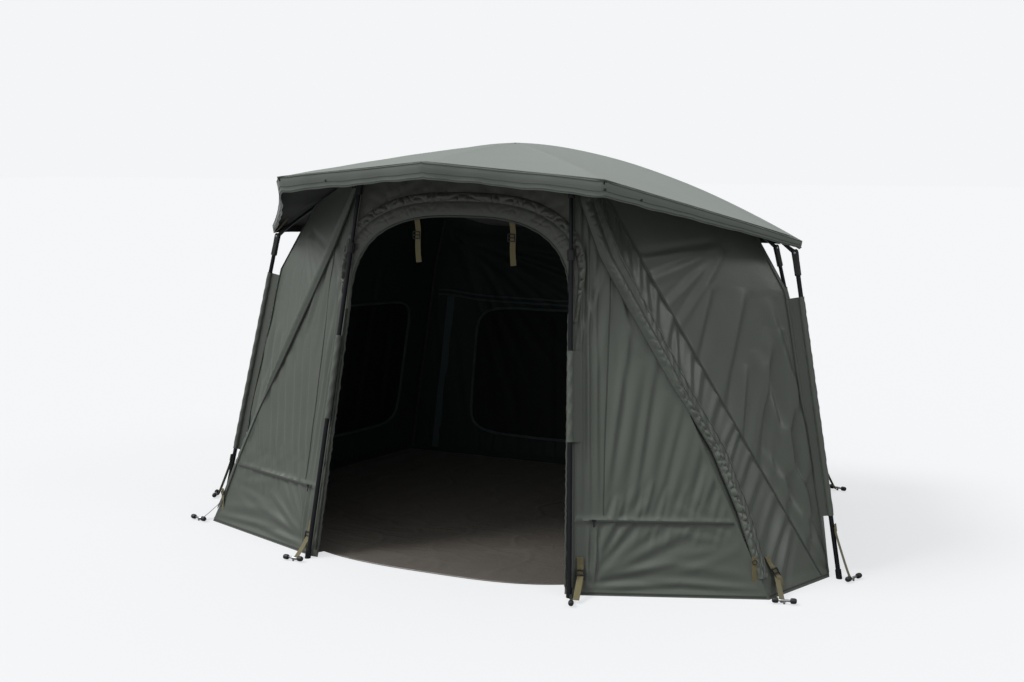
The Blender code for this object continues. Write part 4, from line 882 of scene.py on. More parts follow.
def roof_relief(turn, reach, points):
    """Rise of the roof cloth: a felled seam along each rib, fans of slight folds at the corners, slack
    wrinkles near the eave, and unevenness."""
    nearest = np.round(turn).astype(int) % len(TIPS)
    from_rib = from_nearest_rib(turn) * reach
    rise = 1.5 * MM * bell(from_rib, 0.0045) + 0.5 * MM * (1 - ease(from_rib, 0.010, 0.014))
    uneven = ripples(points[..., 0], points[..., 1], 5, 0.18, 0.7)
    rise = rise + 0.9 * MM * uneven * ease(reach, 0.05, 0.4)
    to_tip = points - TIPS[nearest]
    distance = np.linalg.norm(to_tip * FLAT, axis=-1)
    bearing = np.arctan2(to_tip[..., 1], to_tip[..., 0])
    folds = np.sin(bearing * 15 + nearest * 2.0) * bell(distance, 0.17)
    folds = folds * ease(distance, 0.0, 0.05)
    slack = gathers(turn * 61 + 3 * np.sin(turn * 9)) + 0.7 * gathers(turn * 37 + 10 * reach)
    slack = slack * ease(reach, 0.84, 0.985) * (0.5 + 0.5 * np.sin(turn * 5.3 + 1))
    return rise + (1.8 * folds + 0.9 * slack) * MM * (reach < 1)


def from_nearest_rib(turn):
    """Distance along the eave from the nearest rib's tip."""
    panel = np.floor(turn).astype(int) % len(TIPS)
    chord = np.linalg.norm(TIPS[next_rib(panel)] - TIPS[panel], axis=-1)
    return np.abs(turn - np.round(turn)) * chord


def roof_rings(turn):
    """Underside, outer face and inner face of the roof from hub to eave, rounded at the front tips."""
    reach = np.concatenate([[0.0006, 0.012], (np.arange(1, RINGS + 1) / RINGS) ** 1.05])
    turns, reaches = np.meshgrid(turn, reach)
    near = bell(from_nearest_rib(turn), 0.035)
    rounding = 1 - 0.011 * near * np.isin(np.round(turn).astype(int) % len(TIPS), FRONT_RIBS)
    drawn_in = np.where(reaches > 0.85, 1 - (1 - rounding) * ease(reaches, 0.85, 1.0), 1)
    under = roof_surface(turns, reaches * drawn_in)
    lift = UP * (ROOF_CLOTH + roof_relief(turns, reaches, under))[..., None]
    at_edge = (ROOF_CLOTH * (reaches > 0.999))[..., None]
    return under, under + lift + away(under) * at_edge, under + UP * 0.5 * MM


def hanging_band(turn, edge_out, edge_in):
    """Outer and inner rows of the band that hangs from the eave, leaning in and swinging, and its depth."""
    panel = np.floor(turn).astype(int)
    way = away(edge_out)
    depth = lerp(DROPS[panel], DROPS[next_rib(panel)], turn - panel)
    run = run_along(edge_out)
    depth = depth * (1 + 0.03 * np.sin(run * 21) + 0.02 * np.sin(run * 47 + 1))
    steps = np.arange(1, BAND_ROWS + 1)[:, None, None] / BAND_ROWS
    puckered = 1.6 * MM * gathers(run * 67 + 3 * np.sin(run * 5))
    swing = 2.2 * MM * np.sin(run * 31 + 2 * np.sin(run * 7)) + puckered
    swell = 1.5 * MM * np.sin(np.pi * np.clip(steps * 1.6, 0, 1)) + 1.1 * MM * (steps > 0.86)
    lean = -0.20 * depth[None, :, None] * steps**1.4
    swing = swing[None, :, None] * steps + lean
    fall = UP * depth[None, :, None] * steps
    outer = edge_out[None] - fall + way[None] * (swing + swell)
    inner = edge_in[None] - fall + way[None] * (swing - 0.3 * MM)
    return outer, inner, depth


def make_roof():
    """Roof sheet with its hanging band, piping and bindings, the cap at the hub, studs and corner tabs."""
    turn = np.arange(PER_PANEL * len(TIPS)) / PER_PANEL
    panel = np.floor(turn).astype(int)
    under, outer, inner = roof_rings(turn)
    way = away(outer[-1])
    hang_out, hang_in, depth = hanging_band(turn, outer[-1], inner[-1])
    both = np.concatenate([outer, hang_out]), np.concatenate([inner, hang_in])
    points, faces, uv, slots = closed(*both, True, 0, 1)
    top = (len(outer) - 1) * len(turn)
    # The hanging band's outer faces take the valance: the roof cloth darkened as painted shade
    shell = points, [faces[0][:top], faces[0][top:], *faces[1:]], uv, [0, 2, *slots[1:]]
    roof = fitting("roof_skin", [shell], ["roof", "under", "valance"], "canopy", "roof")
    lines = []
    for gap in (0.007, 0.028):
        eave = lerp(TIPS[panel], TIPS[next_rib(panel)], (turn - panel)[:, None])
        seat = roof_surface(turn, 1 - gap / np.linalg.norm(eave - HUB, axis=1))
        lines.append(rope(seat + UP * (ROOF_CLOTH + 1.0 * MM), sizes().piping, 8, ring_shaped=True))
    for row, radius in ((0, 1.5), (8, 1.1), (BAND_ROWS - 2, 1.3)):
        lines.append(rope(hang_out[row] + way * 0.6 * MM, radius * MM, 6, ring_shaped=True))
    fitting("roof_piping", lines, ["seam"], "canopy")
    cap = HUB + UP * (HUB_HEIGHT + ROOF_CLOTH - 1.2 * MM)
    fitting("roof_cap", [lathe(cap, UP, CAP, 48)], ["roof"], "canopy")
    studs = []
    for at in STUDS:
        nearest = int(np.argmin(np.linalg.norm(hang_out[STUD_ROW][:, :2] - at, axis=1)))
        studs.append(lathe(hang_out[STUD_ROW, nearest], way[nearest], STUD, 20))
    fitting("eave_studs", studs, ["nylon"], "canopy")
    tabs = []
    for tip in TIPS[[5, 4, 2, 3]]:
        start = tip - away(tip) * 0.085 - UP * 0.004
        start[2] = roof_height(start) - 2 * MM
        end = tip - away(tip) * 0.006 - UP * 0.030
        path = line([start, lerp(start, end, 0.55) - UP * 0.006, end], [6, 6])
        tabs.append(ribbon(path, np.cross(UP, away(tip)), 0.020, 1.6 * MM))
    fitting("corner_tabs", tabs, ["web"], "canopy")


# Walls
# Windows as shares of their wall: left, right, bottom and top; the power rounds their corners
WINDOW_POWER = 8.0
REAR_WINDOW = (0.16, 0.86, 0.13, 0.585)
BACK_WINDOW = (0.152, 0.848, 0.095, 0.585)
LINED = ("wall", "inside", "mesh")
# How far in the lining lies from the wall's outer face
LINING_IN = 9 * MM
# Folds as start and end, each a distance along the wall and a height, then width and share of the fold depth
WING_FOLDS = (
    (0.034, 0.32, 0.020, 1.55, 0.009, 0.8),
    (0.066, 0.30, 0.050, 1.45, 0.008, 0.7),
    (0.098, 0.31, 0.082, 1.35, 0.010, 0.6),
    (0.085, 0.04, 0.098, 0.27, 0.007, 0.9),
    (0.058, 0.02, 0.064, 0.26, 0.008, 0.7),
)
WING_HEM_FOLDS = (
    (0.03, 0.030, 0.42, 0.045, 0.012, 1.0),
    (0.28, 0.062, 0.74, 0.036, 0.013, 0.9),
    (0.10, 0.090, 0.50, 0.112, 0.022, 0.55),
    (0.34, 0.130, 0.70, 0.085, 0.020, 0.5),
)
SIDE_FOLDS = (
    (0.02, 0.06, -0.10, 0.92, 0.024, 1.6),
    (0.07, 0.30, -0.02, 1.12, 0.020, 1.5),
    (-0.20, 0.44, -0.02, 1.00, 0.026, 2.1),
    (-0.29, 0.66, -0.10, 1.16, 0.022, 1.8),
    (-0.12, 0.22, 0.04, 0.82, 0.022, 1.9),
    (-0.36, 0.86, -0.22, 1.18, 0.018, 1.3),
    (-0.05, 0.10, 0.05, 0.55, 0.018, 1.5),
    (-0.24, 0.50, -0.14, 0.86, 0.016, 1.3),
)
# Fans as place, angles, reach, width and share of the fold depth
WING_FANS = (
    ((0.050, 0.050), (14, 27, 40, 52, 64), 0.46, 0.017, 0.75),
    ((0.68, 0.19), (150, 168, 186, 204), 0.34, 0.018, 0.45),
    ((0.17, 1.36), (250, 262, 274, 284), 0.55, 0.014, 0.8),
)
SIDE_FANS = (
    ((0.035, 0.02), (64, 76, 88, 99, 110), 0.60, 0.013, 1.0),
    ((0.02, 1.02), (246, 256, 266, 276), 0.62, 0.014, 1.1),
    ((-0.12, 1.33), (190, 203, 216, 230), 0.45, 0.016, 0.8),
)


def listed(folds):
    """Folds of a table, their shares turned into depths."""
    return [(*fold[:-1], sizes().fold * fold[-1]) for fold in folds]


def fans(table, seed):
    """Folds of a table's fans, each fan with a seed of its own."""
    marks = []
    for k, (at, angles, reach, width, share) in enumerate(table):
        marks += fan(np.array(at), angles, reach, width, sizes().fold * share, seed + k)
    return marks


def wing_marks(seed):
    """Folds of a front wing, by distance from the door's foot and height."""
    depth = sizes().fold
    rng = np.random.default_rng(seed)
    marks = listed(WING_FOLDS)
    for k in range(8):
        foot = np.array([0.13 + 0.052 * k, 0.34 + rng.uniform(-0.02, 0.06)])
        top = foot + np.array([0.075 + 0.02 * rng.random(), 0.62 - 0.055 * k + rng.uniform(-0.08, 0.08)])
        marks.append((*foot, *top, 0.021 + rng.uniform(-6, 8) * MM, depth * rng.uniform(0.45, 1.35)))
    for k in range(13):
        foot = 0.16 + 0.042 * k + rng.uniform(-12, 12) * MM
        rise = 0.10 + 0.016 * k
        top = foot + 0.06 * rise / 0.2, 0.30 + rise * rng.uniform(0.7, 1.2)
        marks.append((*top, foot, 0.270, 0.010, depth * rng.uniform(0.25, 0.75)))
    for k in range(9):
        top = 0.15 + 0.062 * k + rng.uniform(-10, 10) * MM
        foot = top - 0.03, 0.20 + rng.uniform(-25, 25) * MM
        marks.append((top, 0.298, *foot, 0.010, depth * rng.uniform(0.1, 0.4)))
    return marks + fans(WING_FANS, seed + 1) + listed(WING_HEM_FOLDS)


def corner_marks(seed):
    """Slanting folds of the narrow corner panel, by distance from its foot and height."""
    rng = np.random.default_rng(seed)
    marks = []
    for k in range(17):
        z = 0.08 + 0.082 * k + rng.uniform(-16, 16) * MM
        left = 0.02 - 0.16 * z
        right = 0.385 - 0.41 * z
        span = right - left
        start = left + span * rng.uniform(0.10, 0.30)
        end = left + span * rng.uniform(0.75, 1.05)
        rise = rng.uniform(0.07, 0.13)
        width = 0.013 + 5 * MM * rng.random()
        marks.append((start, z - rise / 2, end, z + rise, width, sizes().fold * rng.uniform(0.7, 1.3)))
    return marks


def side_marks(seed):
    """Soft slanting folds of the side wall, its slack under the eave and the drag lines at its feet."""
    return listed(SIDE_FOLDS) + fans(SIDE_FANS, seed)


def hung_marks(width, seed, count=9):
    """Upright folds of a wall that hangs between two legs, with short ones from its hem."""
    rng = np.random.default_rng(seed)
    marks = []
    for k in range(count):
        s = width * (k + 0.5 + rng.uniform(-0.3, 0.3)) / count
        low, drift, high = rng.uniform(0, 0.25), rng.uniform(-40, 40) * MM, rng.uniform(0.7, 1.15)
        marks.append((s, low, s + drift, high, 0.020, sizes().fold * rng.uniform(0.4, 1)))
    for k in range(count * 2):
        s = width * (k + 0.5) / count / 2
        drift, high = rng.uniform(-30, 30) * MM, 0.14 + 0.1 * rng.random()
        marks.append((s, 0.01, s + drift, high, 0.009, sizes().fold * rng.uniform(0.3, 0.7)))
    return marks


def seam_strip(grid, u, v, width, rise=0.9 * MM, inside=False):
    """Tape that lies on a wall along shares u, v of its grid, outside or inside."""
    points = sample(grid, u, v)
    out = away(points) * (-1 if inside else 1)
    ahead = unit(np.gradient(points, axis=0))
    across = unit(np.cross(out, ahead))
    face = unit(np.cross(ahead, across))
    face = face * np.sign((face * out).sum(-1, keepdims=True))
    return ribbon(points + face * rise / 2, across, width, rise, face, 5, 0.25 * MM)


def backed(grid, mesh=None):
    """Closed wall cloth: the drawn grid outside and its dark backing inside, with a mesh window in it."""
    points, faces, uv, slots = closed(grid, grid - away(grid) * sizes().cloth, back=1)
    if mesh is None:
        return points, faces, uv, slots
    rows, columns = grid.shape[:2]
    u = (np.arange(columns - 1) + 0.5) / (columns - 1)
    v = (np.arange(rows - 1) + 0.5) / (rows - 1)
    u0, u1, v0, v1 = mesh
    across = np.abs((2 * u - u0 - u1) / (u1 - u0))[None] ** WINDOW_POWER
    within = (across + np.abs((2 * v - v0 - v1) / (v1 - v0))[:, None] ** WINDOW_POWER < 1).ravel()
    return points, [faces[0], faces[1][~within], faces[1][within], *faces[2:]], uv, [0, 1, 2, *slots[2:]]


def window_frame(grid, u0, u1, v0, v1, count=420):
    """Rolled frame sewn round a window, a closed line with rounded corners on the inside of a wall."""
    turn = turns_of(count)
    power = 2 / WINDOW_POWER
    u = np.sign(np.cos(turn)) * np.abs(np.cos(turn)) ** power
    v = np.sign(np.sin(turn)) * np.abs(np.sin(turn)) ** power
    seat = sample(grid, (u0 + u1 + (u1 - u0) * u) / 2, (v0 + v1 + (v1 - v0) * v) / 2)
    return rope(seat - away(seat) * 8.5 * MM, 4.5 * MM, 8, hint=away(seat), ring_shaped=True, flat=1.7)


def wing_grids(side):
    """Plain grid of a front wing and the share of its rows that lie below the zip."""
    p = PLACES[side]
    below, above, across = 34, 126, 200
    door, corner = (
        line([p[low], at_height(p[low], p[high], ZIP_HEIGHT), p[high]], [below, above])
        for low, high in (("door_foot", "door_top"), ("corner_foot", "flap_top"))
    )
    foot = line([p["door_foot"], p["corner_foot"]], [across])
    return patch(door, corner, foot, eave_line(p["door_top"], p["flap_top"], across)), below / (below + above)


def folded_wing(side):
    """Plain and drawn grids of a front wing and the share of its height where the zip runs."""
    plain, zip_row = wing_grids(side)
    folded = drawn(plain, wing_marks(20 + side), 30 + side)
    calm = bell(plain[..., 2] - ZIP_HEIGHT, 0.009)
    return plain, lerp(folded, plain, calm[..., None]), zip_row


def wing_shares(plain, zip_row, along, height):
    """Shares u and v of a wing's grid at distances from its door edge and at heights above the zip."""
    top = plain[-1, 0, 2]
    v = lerp(zip_row, 1, (height - ZIP_HEIGHT) / (top - ZIP_HEIGHT))
    rows = np.linalg.norm(plain[:, -1] - plain[:, 0], axis=1)
    span = np.interp(v, np.linspace(0, 1, len(rows)), rows)
    return np.clip(along / span, 0, 0.97), v


def make_front_wings():
    """Wings with the line of the zip, the seam beside the door, a dart above the zip and the hem."""
    height = np.linspace(0.305, 1.30, 60)
    for tag, side in SIDES:
        plain, folded, zip_row = folded_wing(side)
        wing = wall_sheet(f"wing_cloth_{tag}", f"front_wing_{tag}", backed(folded))
        declare([plain])
        u, v = wing_shares(plain, zip_row, lerp(0.125, 0.150, ease(height, 0.30, 1.25)), height)
        strips = [
            seam_strip(folded, np.linspace(0.105, 0.985, 80), zip_row, 0.010, 3.2 * MM),
            seam_strip(folded, 0.008, np.linspace(0.02, 0.985, 90), sizes().seam),
            seam_strip(folded, u, v, 0.0055, 1.6 * MM),
            seam_strip(folded, np.linspace(0.01, 0.99, 70), 0.006, 0.010),
        ]
        trim(f"wing_seams_{tag}", strips)


def hung_edge(p, name, rows, chop):
    """Upright edge of a wall at a leg, with its corner drawn in to the spoke above."""
    return line([p[f"{name}_foot"], p[f"{name}_low"], p[f"{name}_tie"]], [rows, chop])


def side_grids(side):
    """Plain grids of the narrow corner panel and of the side wall behind it."""
    p = PLACES[side]
    rows, chop, narrow, wide = 130, 50, 84, 96
    seam = line([p["seam_foot"], p["seam_top"]], [rows + chop])
    corner = patch(
        line([p["corner_foot"], p["flap_top"]], [rows + chop]),
        seam,
        line([p["corner_foot"], p["seam_foot"]], [narrow]),
        eave_line(p["flap_top"], p["seam_top"], narrow),
    )
    main = bent_patch(
        seam,
        hung_edge(p, "side", rows, chop),
        line([p["seam_foot"], p["side_foot"]], [wide]),
        eave_line(p["seam_top"], p["side_tie"], wide),
    )
    return corner, main


def make_side_walls():
    """Corner panel and side wall in one piece, with the seam between them, the leg's seam and the hem."""
    rows = np.linspace(0.01, 0.985, 120)
    for tag, side in SIDES:
        corner, main = side_grids(side)
        corner_folded = drawn(corner, corner_marks(40 + side), 42 + side)
        main_folded = drawn(main, side_marks(50 + side), 52 + side)
        both = np.concatenate([corner_folded, main_folded[:, 1:]], axis=1)
        wall = wall_sheet(f"side_cloth_{tag}", f"side_wall_{tag}", backed(both))
        declare([corner, main])
        strips = [
            seam_strip(main_folded, 0.004, rows, 0.009, 1.6 * MM),
            seam_strip(main_folded, 0.985, rows, sizes().seam),
            seam_strip(both, np.linspace(0.01, 0.99, 90), 0.006, 0.010),
        ]
        trim(f"side_seams_{tag}", strips)


def edge_seams(folded, columns):
    """Upright seam tapes at shares of a wall's width."""
    return [seam_strip(folded, u, np.linspace(0.01, 0.98, 90), sizes().seam) for u in columns]


def make_rear_side_walls():
    """Walls between the side and rear legs, with upright folds and a mesh window on their inside."""
    rows, chop, across = 84, 34, 150
    for tag, side in SIDES:
        p = PLACES[side]
        plain = bent_patch(
            hung_edge(p, "side", rows, chop),
            hung_edge(p, "rear", rows, chop),
            line([p["side_foot"], p["rear_foot"]], [across]),
            eave_line(p["side_tie"], p["rear_tie"], across),
        )
        folded = drawn(plain, hung_marks(1.36, 60 + side), 62 + side)
        shell = backed(folded, REAR_WINDOW)
        wall = wall_sheet(f"rear_side_cloth_{tag}", f"rear_side_wall_{tag}", shell, LINED)
        declare([plain])
        trim(f"side_window_frame_{tag}", [window_frame(folded, *REAR_WINDOW)], "lining seam")
        trim(f"rear_side_seams_{tag}", edge_seams(folded, (0.006, 0.994)))


def make_back_wall():
    """Back wall with fans of folds from its upper corners, its window, and tapes on the lining."""
    rows, chop, across = 112, 46, 290
    plain = bent_patch(
        hung_edge(LEFT, "rear", rows, chop),
        hung_edge(RIGHT, "rear", rows, chop),
        line([LEFT["rear_foot"], RIGHT["rear_foot"]], [across]),
        eave_line(LEFT["rear_tie"], RIGHT["rear_tie"], across, 0.095),
    )
    marks = hung_marks(2.35, 70, 15)
    marks += fan(np.array([0.42, 1.26]), range(286, 358, 9), 1.15, 0.021, sizes().fold * 1.5, 71, -0.05)
    marks += fan(np.array([1.98, 1.26]), range(186, 254, 17), 0.8, 0.021, sizes().fold * 0.8, 73)
    folded = drawn(plain, marks, 72, 1.6 * MM)
    wall = wall_sheet("back_cloth", "back_wall", backed(folded, BACK_WINDOW), LINED)
    declare([plain])
    trim("back_window_frame", [window_frame(folded, *BACK_WINDOW)], "lining seam")
    lining = folded - away(folded) * LINING_IN
    level, upright = np.linspace(0.02, 0.98, 120), np.linspace(0.02, 0.60, 70)
    strips = [seam_strip(lining, level, row, 0.010, 2.0 * MM, inside=True) for row in (0.605, 0.622)]
    strips += [seam_strip(lining, column, upright, 0.050, 1.6 * MM, inside=True) for column in (0.065, 0.935)]
    trim("lining_seams", strips, "lining seam")
    trim("back_seams", edge_seams(folded, (0.005, 0.995)))


# Doorway
JAMB_ROWS, ARCH_ROWS = 72, 81
# Share of the hood's width where its seam runs
HOOD_SEAM = 0.60


def door_plane(height):
    """Distance of the door wall's outer face along Y at heights."""
    low, high = RIGHT["door_foot"], RIGHT["door_top"]
    return lerp(low[1], high[1], height / high[2])


def door_crown():
    """Height of the opening at its middle."""
    middle = RIGHT["door_top"] * np.array([0, 1, 1])
    return float(below_roof(middle)[2]) - DOOR["header"]


def door_outline(grow, jamb, arch):
    """Half outline of the opening from the ground to its crown: a straight jamb and a superellipse arch."""
    share = np.arange(jamb) / jamb
    out = lerp(DOOR["foot"], DOOR["spring"], share) + grow
    straight = np.column_stack([out, DOOR["spring_height"] * share])
    turn = np.pi / 2 * np.arange(arch + 1) / arch
    power = 2 / DOOR["power"]
    half = (DOOR["spring"] + grow) * np.maximum(np.cos(turn), 0) ** power
    half[-1] = 0
    rise = (door_crown() + grow - DOOR["spring_height"]) * np.sin(turn) ** power
    return np.concatenate([straight, np.column_stack([half, DOOR["spring_height"] + rise])])


def on_door(half, height, forward):
    """Points on the door wall, some distance forward of its outer face."""
    return np.stack([half, door_plane(height) - forward, height], -1)


def both_halves(right):
    """A half grid joined to its mirror image over the crown."""
    return np.concatenate([right * MIRROR, right[-2::-1]])


def door_line(grow, forward):
    """Line round the opening, grown outward and lying forward of the wall."""
    half = door_outline(grow, JAMB_ROWS, ARCH_ROWS)
    return both_halves(on_door(half[:, 0], half[:, 1], forward)[:, None])[:, 0]


def jamb_wave(height):
    """Waviness of the jamb's edge by height."""
    return np.sin(height * 150 + 2 * np.sin(height * 41))


def door_grid():
    """Grid of the wall round the opening, from its outer edge in to the opening, and the share inward."""
    inner = door_outline(0.0, JAMB_ROWS, ARCH_ROWS)
    corner = RIGHT["door_top"]
    steps = JAMB_ROWS + ARCH_ROWS // 2
    rest = ARCH_ROWS - ARCH_ROWS // 2
    up = lerp(RIGHT["door_foot"], corner, np.arange(steps + 1)[:, None] / steps)
    over = below_roof(lerp(corner, corner * np.array([0, 1, 1]), np.arange(1, rest + 1)[:, None] / rest))
    share = np.linspace(0, 1, 22)[None, :, None]
    inner = on_door(inner[:, 0], inner[:, 1], 0)
    grid = np.concatenate([up, over])[:, None] * (1 - share) + inner[:, None] * share
    grid[:, 1:, 1] = door_plane(grid[:, 1:, 2])
    return both_halves(grid), share[..., 0]


def make_door_wall():
    """Wall round the doorway: wrinkled, gathered radially over the arch, crumpled on its jambs, and bound."""
    grid, inset = door_grid()
    across, height = grid[..., 0], grid[..., 2]
    wrinkle = ripples(across, height, 80, 0.025, 0.10, 16) * 1.6 * MM
    radial = np.sin(np.arctan2(height - 1.0, across) * 90 + 3 * inset + 2 * np.sin(across * 30))
    wrinkle = wrinkle + 1.2 * MM * radial * ease(height, 0.9, 1.2)
    crinkle = 1.3 * crumples(height, 0.6 * across, 83, 0.025, 0.07)
    wrinkle = wrinkle + 2.4 * MM * crinkle * (1 - ease(height, 1.0, 1.25)) - 3.0 * MM
    folded = grid.copy()
    folded[..., 1] -= soft_limit(wrinkle, 1.0 * MM, 1.5 * MM) * ease(inset, 0, 0.2) * ease(height, 0, 0.03)
    gather = 1.5 * MM * jamb_wave(height) * ease(inset, 0.7, 1.0) * ease(height, 0.01, 0.05)
    folded[..., 0] += gather * np.sign(folded[..., 0])
    shell = closed(folded, folded - away(folded) * sizes().cloth, back=1)
    wall = wall_sheet("door_cloth", "door_wall", shell, ("band", "inside"))
    # Binding round the opening, and a tape just outside it
    bead = door_line(2.5 * MM, 1.6 * MM)
    sway = 1.4 * MM * jamb_wave(bead[:, 2]) * np.sign(bead[:, 0]) * ease(bead[:, 2], 0.01, 0.05)
    bead = bead + sway[:, None] * RIGHTWARD
    binding = rope(bead[2:-2], 3.0 * MM, 8, hint=FORWARD, flat=1.5)
    tape_line = door_line(12 * MM, 1.2 * MM)
    outward = unit(tape_line - np.array([0, 0, 0.8]))
    tape = ribbon(tape_line[2:-2], outward[2:-2], 0.010, 0.8 * MM, FORWARD, 5)
    trim("door_binding", [binding, tape])


def make_arch_band():
    """Gathered hood over the arch: a smooth inner band, a seam, and a bunched outer welt."""
    arch, across = 260, 38
    share = np.linspace(0, 1, across)
    grown = np.array([door_outline(g, 8, arch)[8:] for g in lerp(0.006, 0.100, share)])
    half, height = grown[..., 0].T, grown[..., 1].T
    rise = (height[:, :1] - DOOR["spring_height"]) / (door_crown() - DOOR["spring_height"])
    taper = lerp(0.38, 1.0, ease(rise, 0.0, 0.75))
    inner = door_outline(0.006, 8, arch)[8:]
    half = inner[:, :1] + (half - inner[:, :1]) * taper
    height = inner[:, 1:] + (height - inner[:, 1:]) * taper
    run = np.concatenate([[0], np.cumsum(np.hypot(*np.diff(inner, axis=0).T))])[:, None]
    t = share[None]
    phase = 3.4 * np.sin(run * 23) + 2.4 * np.sin(run * 57 + 1.0)
    band = (t < HOOD_SEAM) * np.sin(np.pi * np.clip(t / HOOD_SEAM, 0, 1)) ** 0.5
    welt = np.sin(np.pi * np.clip((t - HOOD_SEAM) / 0.40, 0, 1)) ** 0.7 * (t >= HOOD_SEAM)
    pucker = sizes().pucker
    corner = run[np.argmax(inner[:, 0] + 1.2 * inner[:, 1])]
    radial = gathers(run * 150 + phase + 4.0 * t) * (0.25 + bell(run - corner, 0.16))
    radial = radial + 0.7 * crumples(run, 0.09 * t, 81, 0.04, 0.12)
    bunch = 1.3 * crumples(run, 0.07 * t, 82, 0.028, 0.075) + 0.4 * gathers(run * 150 + 1.4 * phase + 12 * t)
    band = band * (6.5 * MM + 0.50 * pucker * radial)
    welt = welt * (8.5 * MM + 1.45 * pucker * bunch)
    forward = 1.6 * MM + band + welt
    forward = np.maximum(forward * lerp(0.55, 1.0, ease(rise, 0, 0.5)), 1.2 * MM)
    front = both_halves(on_door(half, height, forward))
    back = both_halves(on_door(half, height, FIT))
    hood = wall_sheet("arch_hood", "door_arch_band", closed(front, back), ["band"])
    seam = front[2:-2, int(HOOD_SEAM * (across - 1))] + FORWARD * MM
    trim("arch_seam", [rope(seam, 1.5 * MM, 6, hint=FORWARD)])


# Corner flaps and sleeves
# Depth of the ruffle on the right and on the left flap
RUFFLE = {1: 1.15, -1: 0.35}
# Width of a flap behind the crease, and of its lap over the wing
FLAP_WIDTH, FLAP_LAP = 0.066, 0.022
# How far the flap strays from the crease, towards the side wall where positive, by share of its height
STRAY = ((0, 0.2, 0.34, 0.49, 0.64, 0.80, 0.95), (0.0, 0.050, 0.056, 0.0, -0.036, -0.070, -0.052))
# Share of its full width by share of its height
NARROW = ((0.04, 0.11, 0.4, 1), (0.45, 0.75, 1, 1.1))
# Inner and outer radius of a sleeve, and where each one begins and ends
BORE, WRAP = 10.2 * MM, 13.0 * MM
SLEEVES = (
    ("front", 0.590, 0.940, "door_foot", "door_top"),
    ("side", 0.250, 1.125, "side_foot", "side_low"),
    ("rear", 0.250, 1.045, "rear_foot", "rear_low"),
)


def flap_offset(side, share, run, q):
    """How far a flap stands off the wall, by share and distance up it and by distance q across it: a
    ruffle bunched by elastic beside the crease, a drape behind it, a drawn-in seam and a hem."""
    ruffle = np.exp(-np.abs((q - 0.003) / 0.019) ** 3)
    phase = 1.9 * np.sin(run * 17 + side) + 1.3 * np.sin(run * 41)
    waves = 1.2 * crumples(run, 1.3 * q, 84, 0.030, 0.080) + 0.4 * gathers(run * 150 + phase * 2 + q * 90)
    waves = waves * lerp(1.25, 0.40, ease(share, 0.30, 0.62))
    drape = gathers((run - q * 1.5) * 66 + phase) + 0.5 * np.sin((run - q * 2.2) * 118 - phase)
    full = 0.30 + 0.70 * ease(share, 0.05, 0.26)
    bunched = ruffle * full * (13 * MM + RUFFLE[side] * sizes().pucker * waves)
    offset = 2.2 * MM + bunched + ease(q, 0.020, 0.036) * 1.6 * MM * drape
    offset = offset - 1.5 * MM * bell(q - 0.027, 0.0025)
    offset = offset + 1.5 * MM * bell(q - 0.060, 0.003)
    return np.maximum(offset, 1.6 * MM) * (1 - ease(q, 0.063, 0.0675)) + 1.0 * MM


def make_corner_flaps():
    """Flap over the corner zip: it follows the crease between wing and side wall and strays to both sides."""
    rows, before, behind = 330, 9, 26
    share = np.linspace(0.048, 0.955, rows)[:, None]
    t = np.concatenate([np.linspace(-1, 0, before), np.linspace(0, 1, behind + 1)[1:]])
    width = FLAP_WIDTH * np.interp(share, *NARROW)
    for tag, side in SIDES:
        p = PLACES[side]
        crease = lerp(p["corner_foot"], p["flap_top"], share)
        wing_edge = lerp(p["door_foot"], p["door_top"], share)
        side_edge = lerp(p["seam_foot"], p["seam_top"], share)
        room = np.linalg.norm(side_edge - crease, axis=1, keepdims=True)
        wing_room = np.linalg.norm(wing_edge - crease, axis=1, keepdims=True)
        stray = np.interp(share, *STRAY) * (1 if side > 0 else 0.4)
        stray = np.clip(stray, -np.maximum(wing_room - 0.045, 0), np.maximum(0.85 * room - width, 0))
        reach = np.minimum(width, 0.8 * room - stray)
        over = np.where(t[None] < 0, t[None] * FLAP_LAP, t[None] * reach) + stray
        from_wing, to_side = unit(crease - wing_edge)[:, None], unit(side_edge - crease)[:, None]
        ways = np.where(over[..., None] < 0, from_wing, to_side)
        plain = crease[:, None] + ways * over[..., None]
        run = share * np.linalg.norm(p["flap_top"] - p["corner_foot"])
        offset = flap_offset(side, share, run, np.where(t < 0, t * FLAP_LAP, t * FLAP_WIDTH)[None])
        front = plain + away(plain) * offset[..., None]
        back = plain + away(plain) * (FIT * 1.4)
        flap = wall_sheet(f"flap_cloth_{tag}", f"corner_flap_{tag}", closed(front, back), ["wall"])
        stitches = []
        # The first and thickest dark rope, along the ruffle's wing-side edge, is a painted shadow line; the
        # other two are seams
        for column, radius in ((0, 1.9), (before + int(0.41 * behind), 1.1), (before + behind - 5, 1.4)):
            stitch = front[3:-3, column] + away(front[3:-3, column]) * 0.4 * MM
            stitches.append(rope(stitch, radius * MM, 6, hint=away(stitch)))
        trim(f"flap_seam_{tag}", stitches)


def hinge(station, tag):
    """A leg's hinge in the frame's joints: its pin and its axis."""
    joint = next(j for j in frame["joints"] if j["name"] == f"fold_{station}_{tag}")
    return np.array(joint["pos_m"], dtype=float), unit(joint["axis"])


def legs(station, side):
    """A leg's pin, its foot and the direction down it."""
    pin, _ = hinge(station, "r" if side > 0 else "l")
    half, back = FEET[station]
    end = place(half * side, back)
    return pin, end, unit(end - pin)


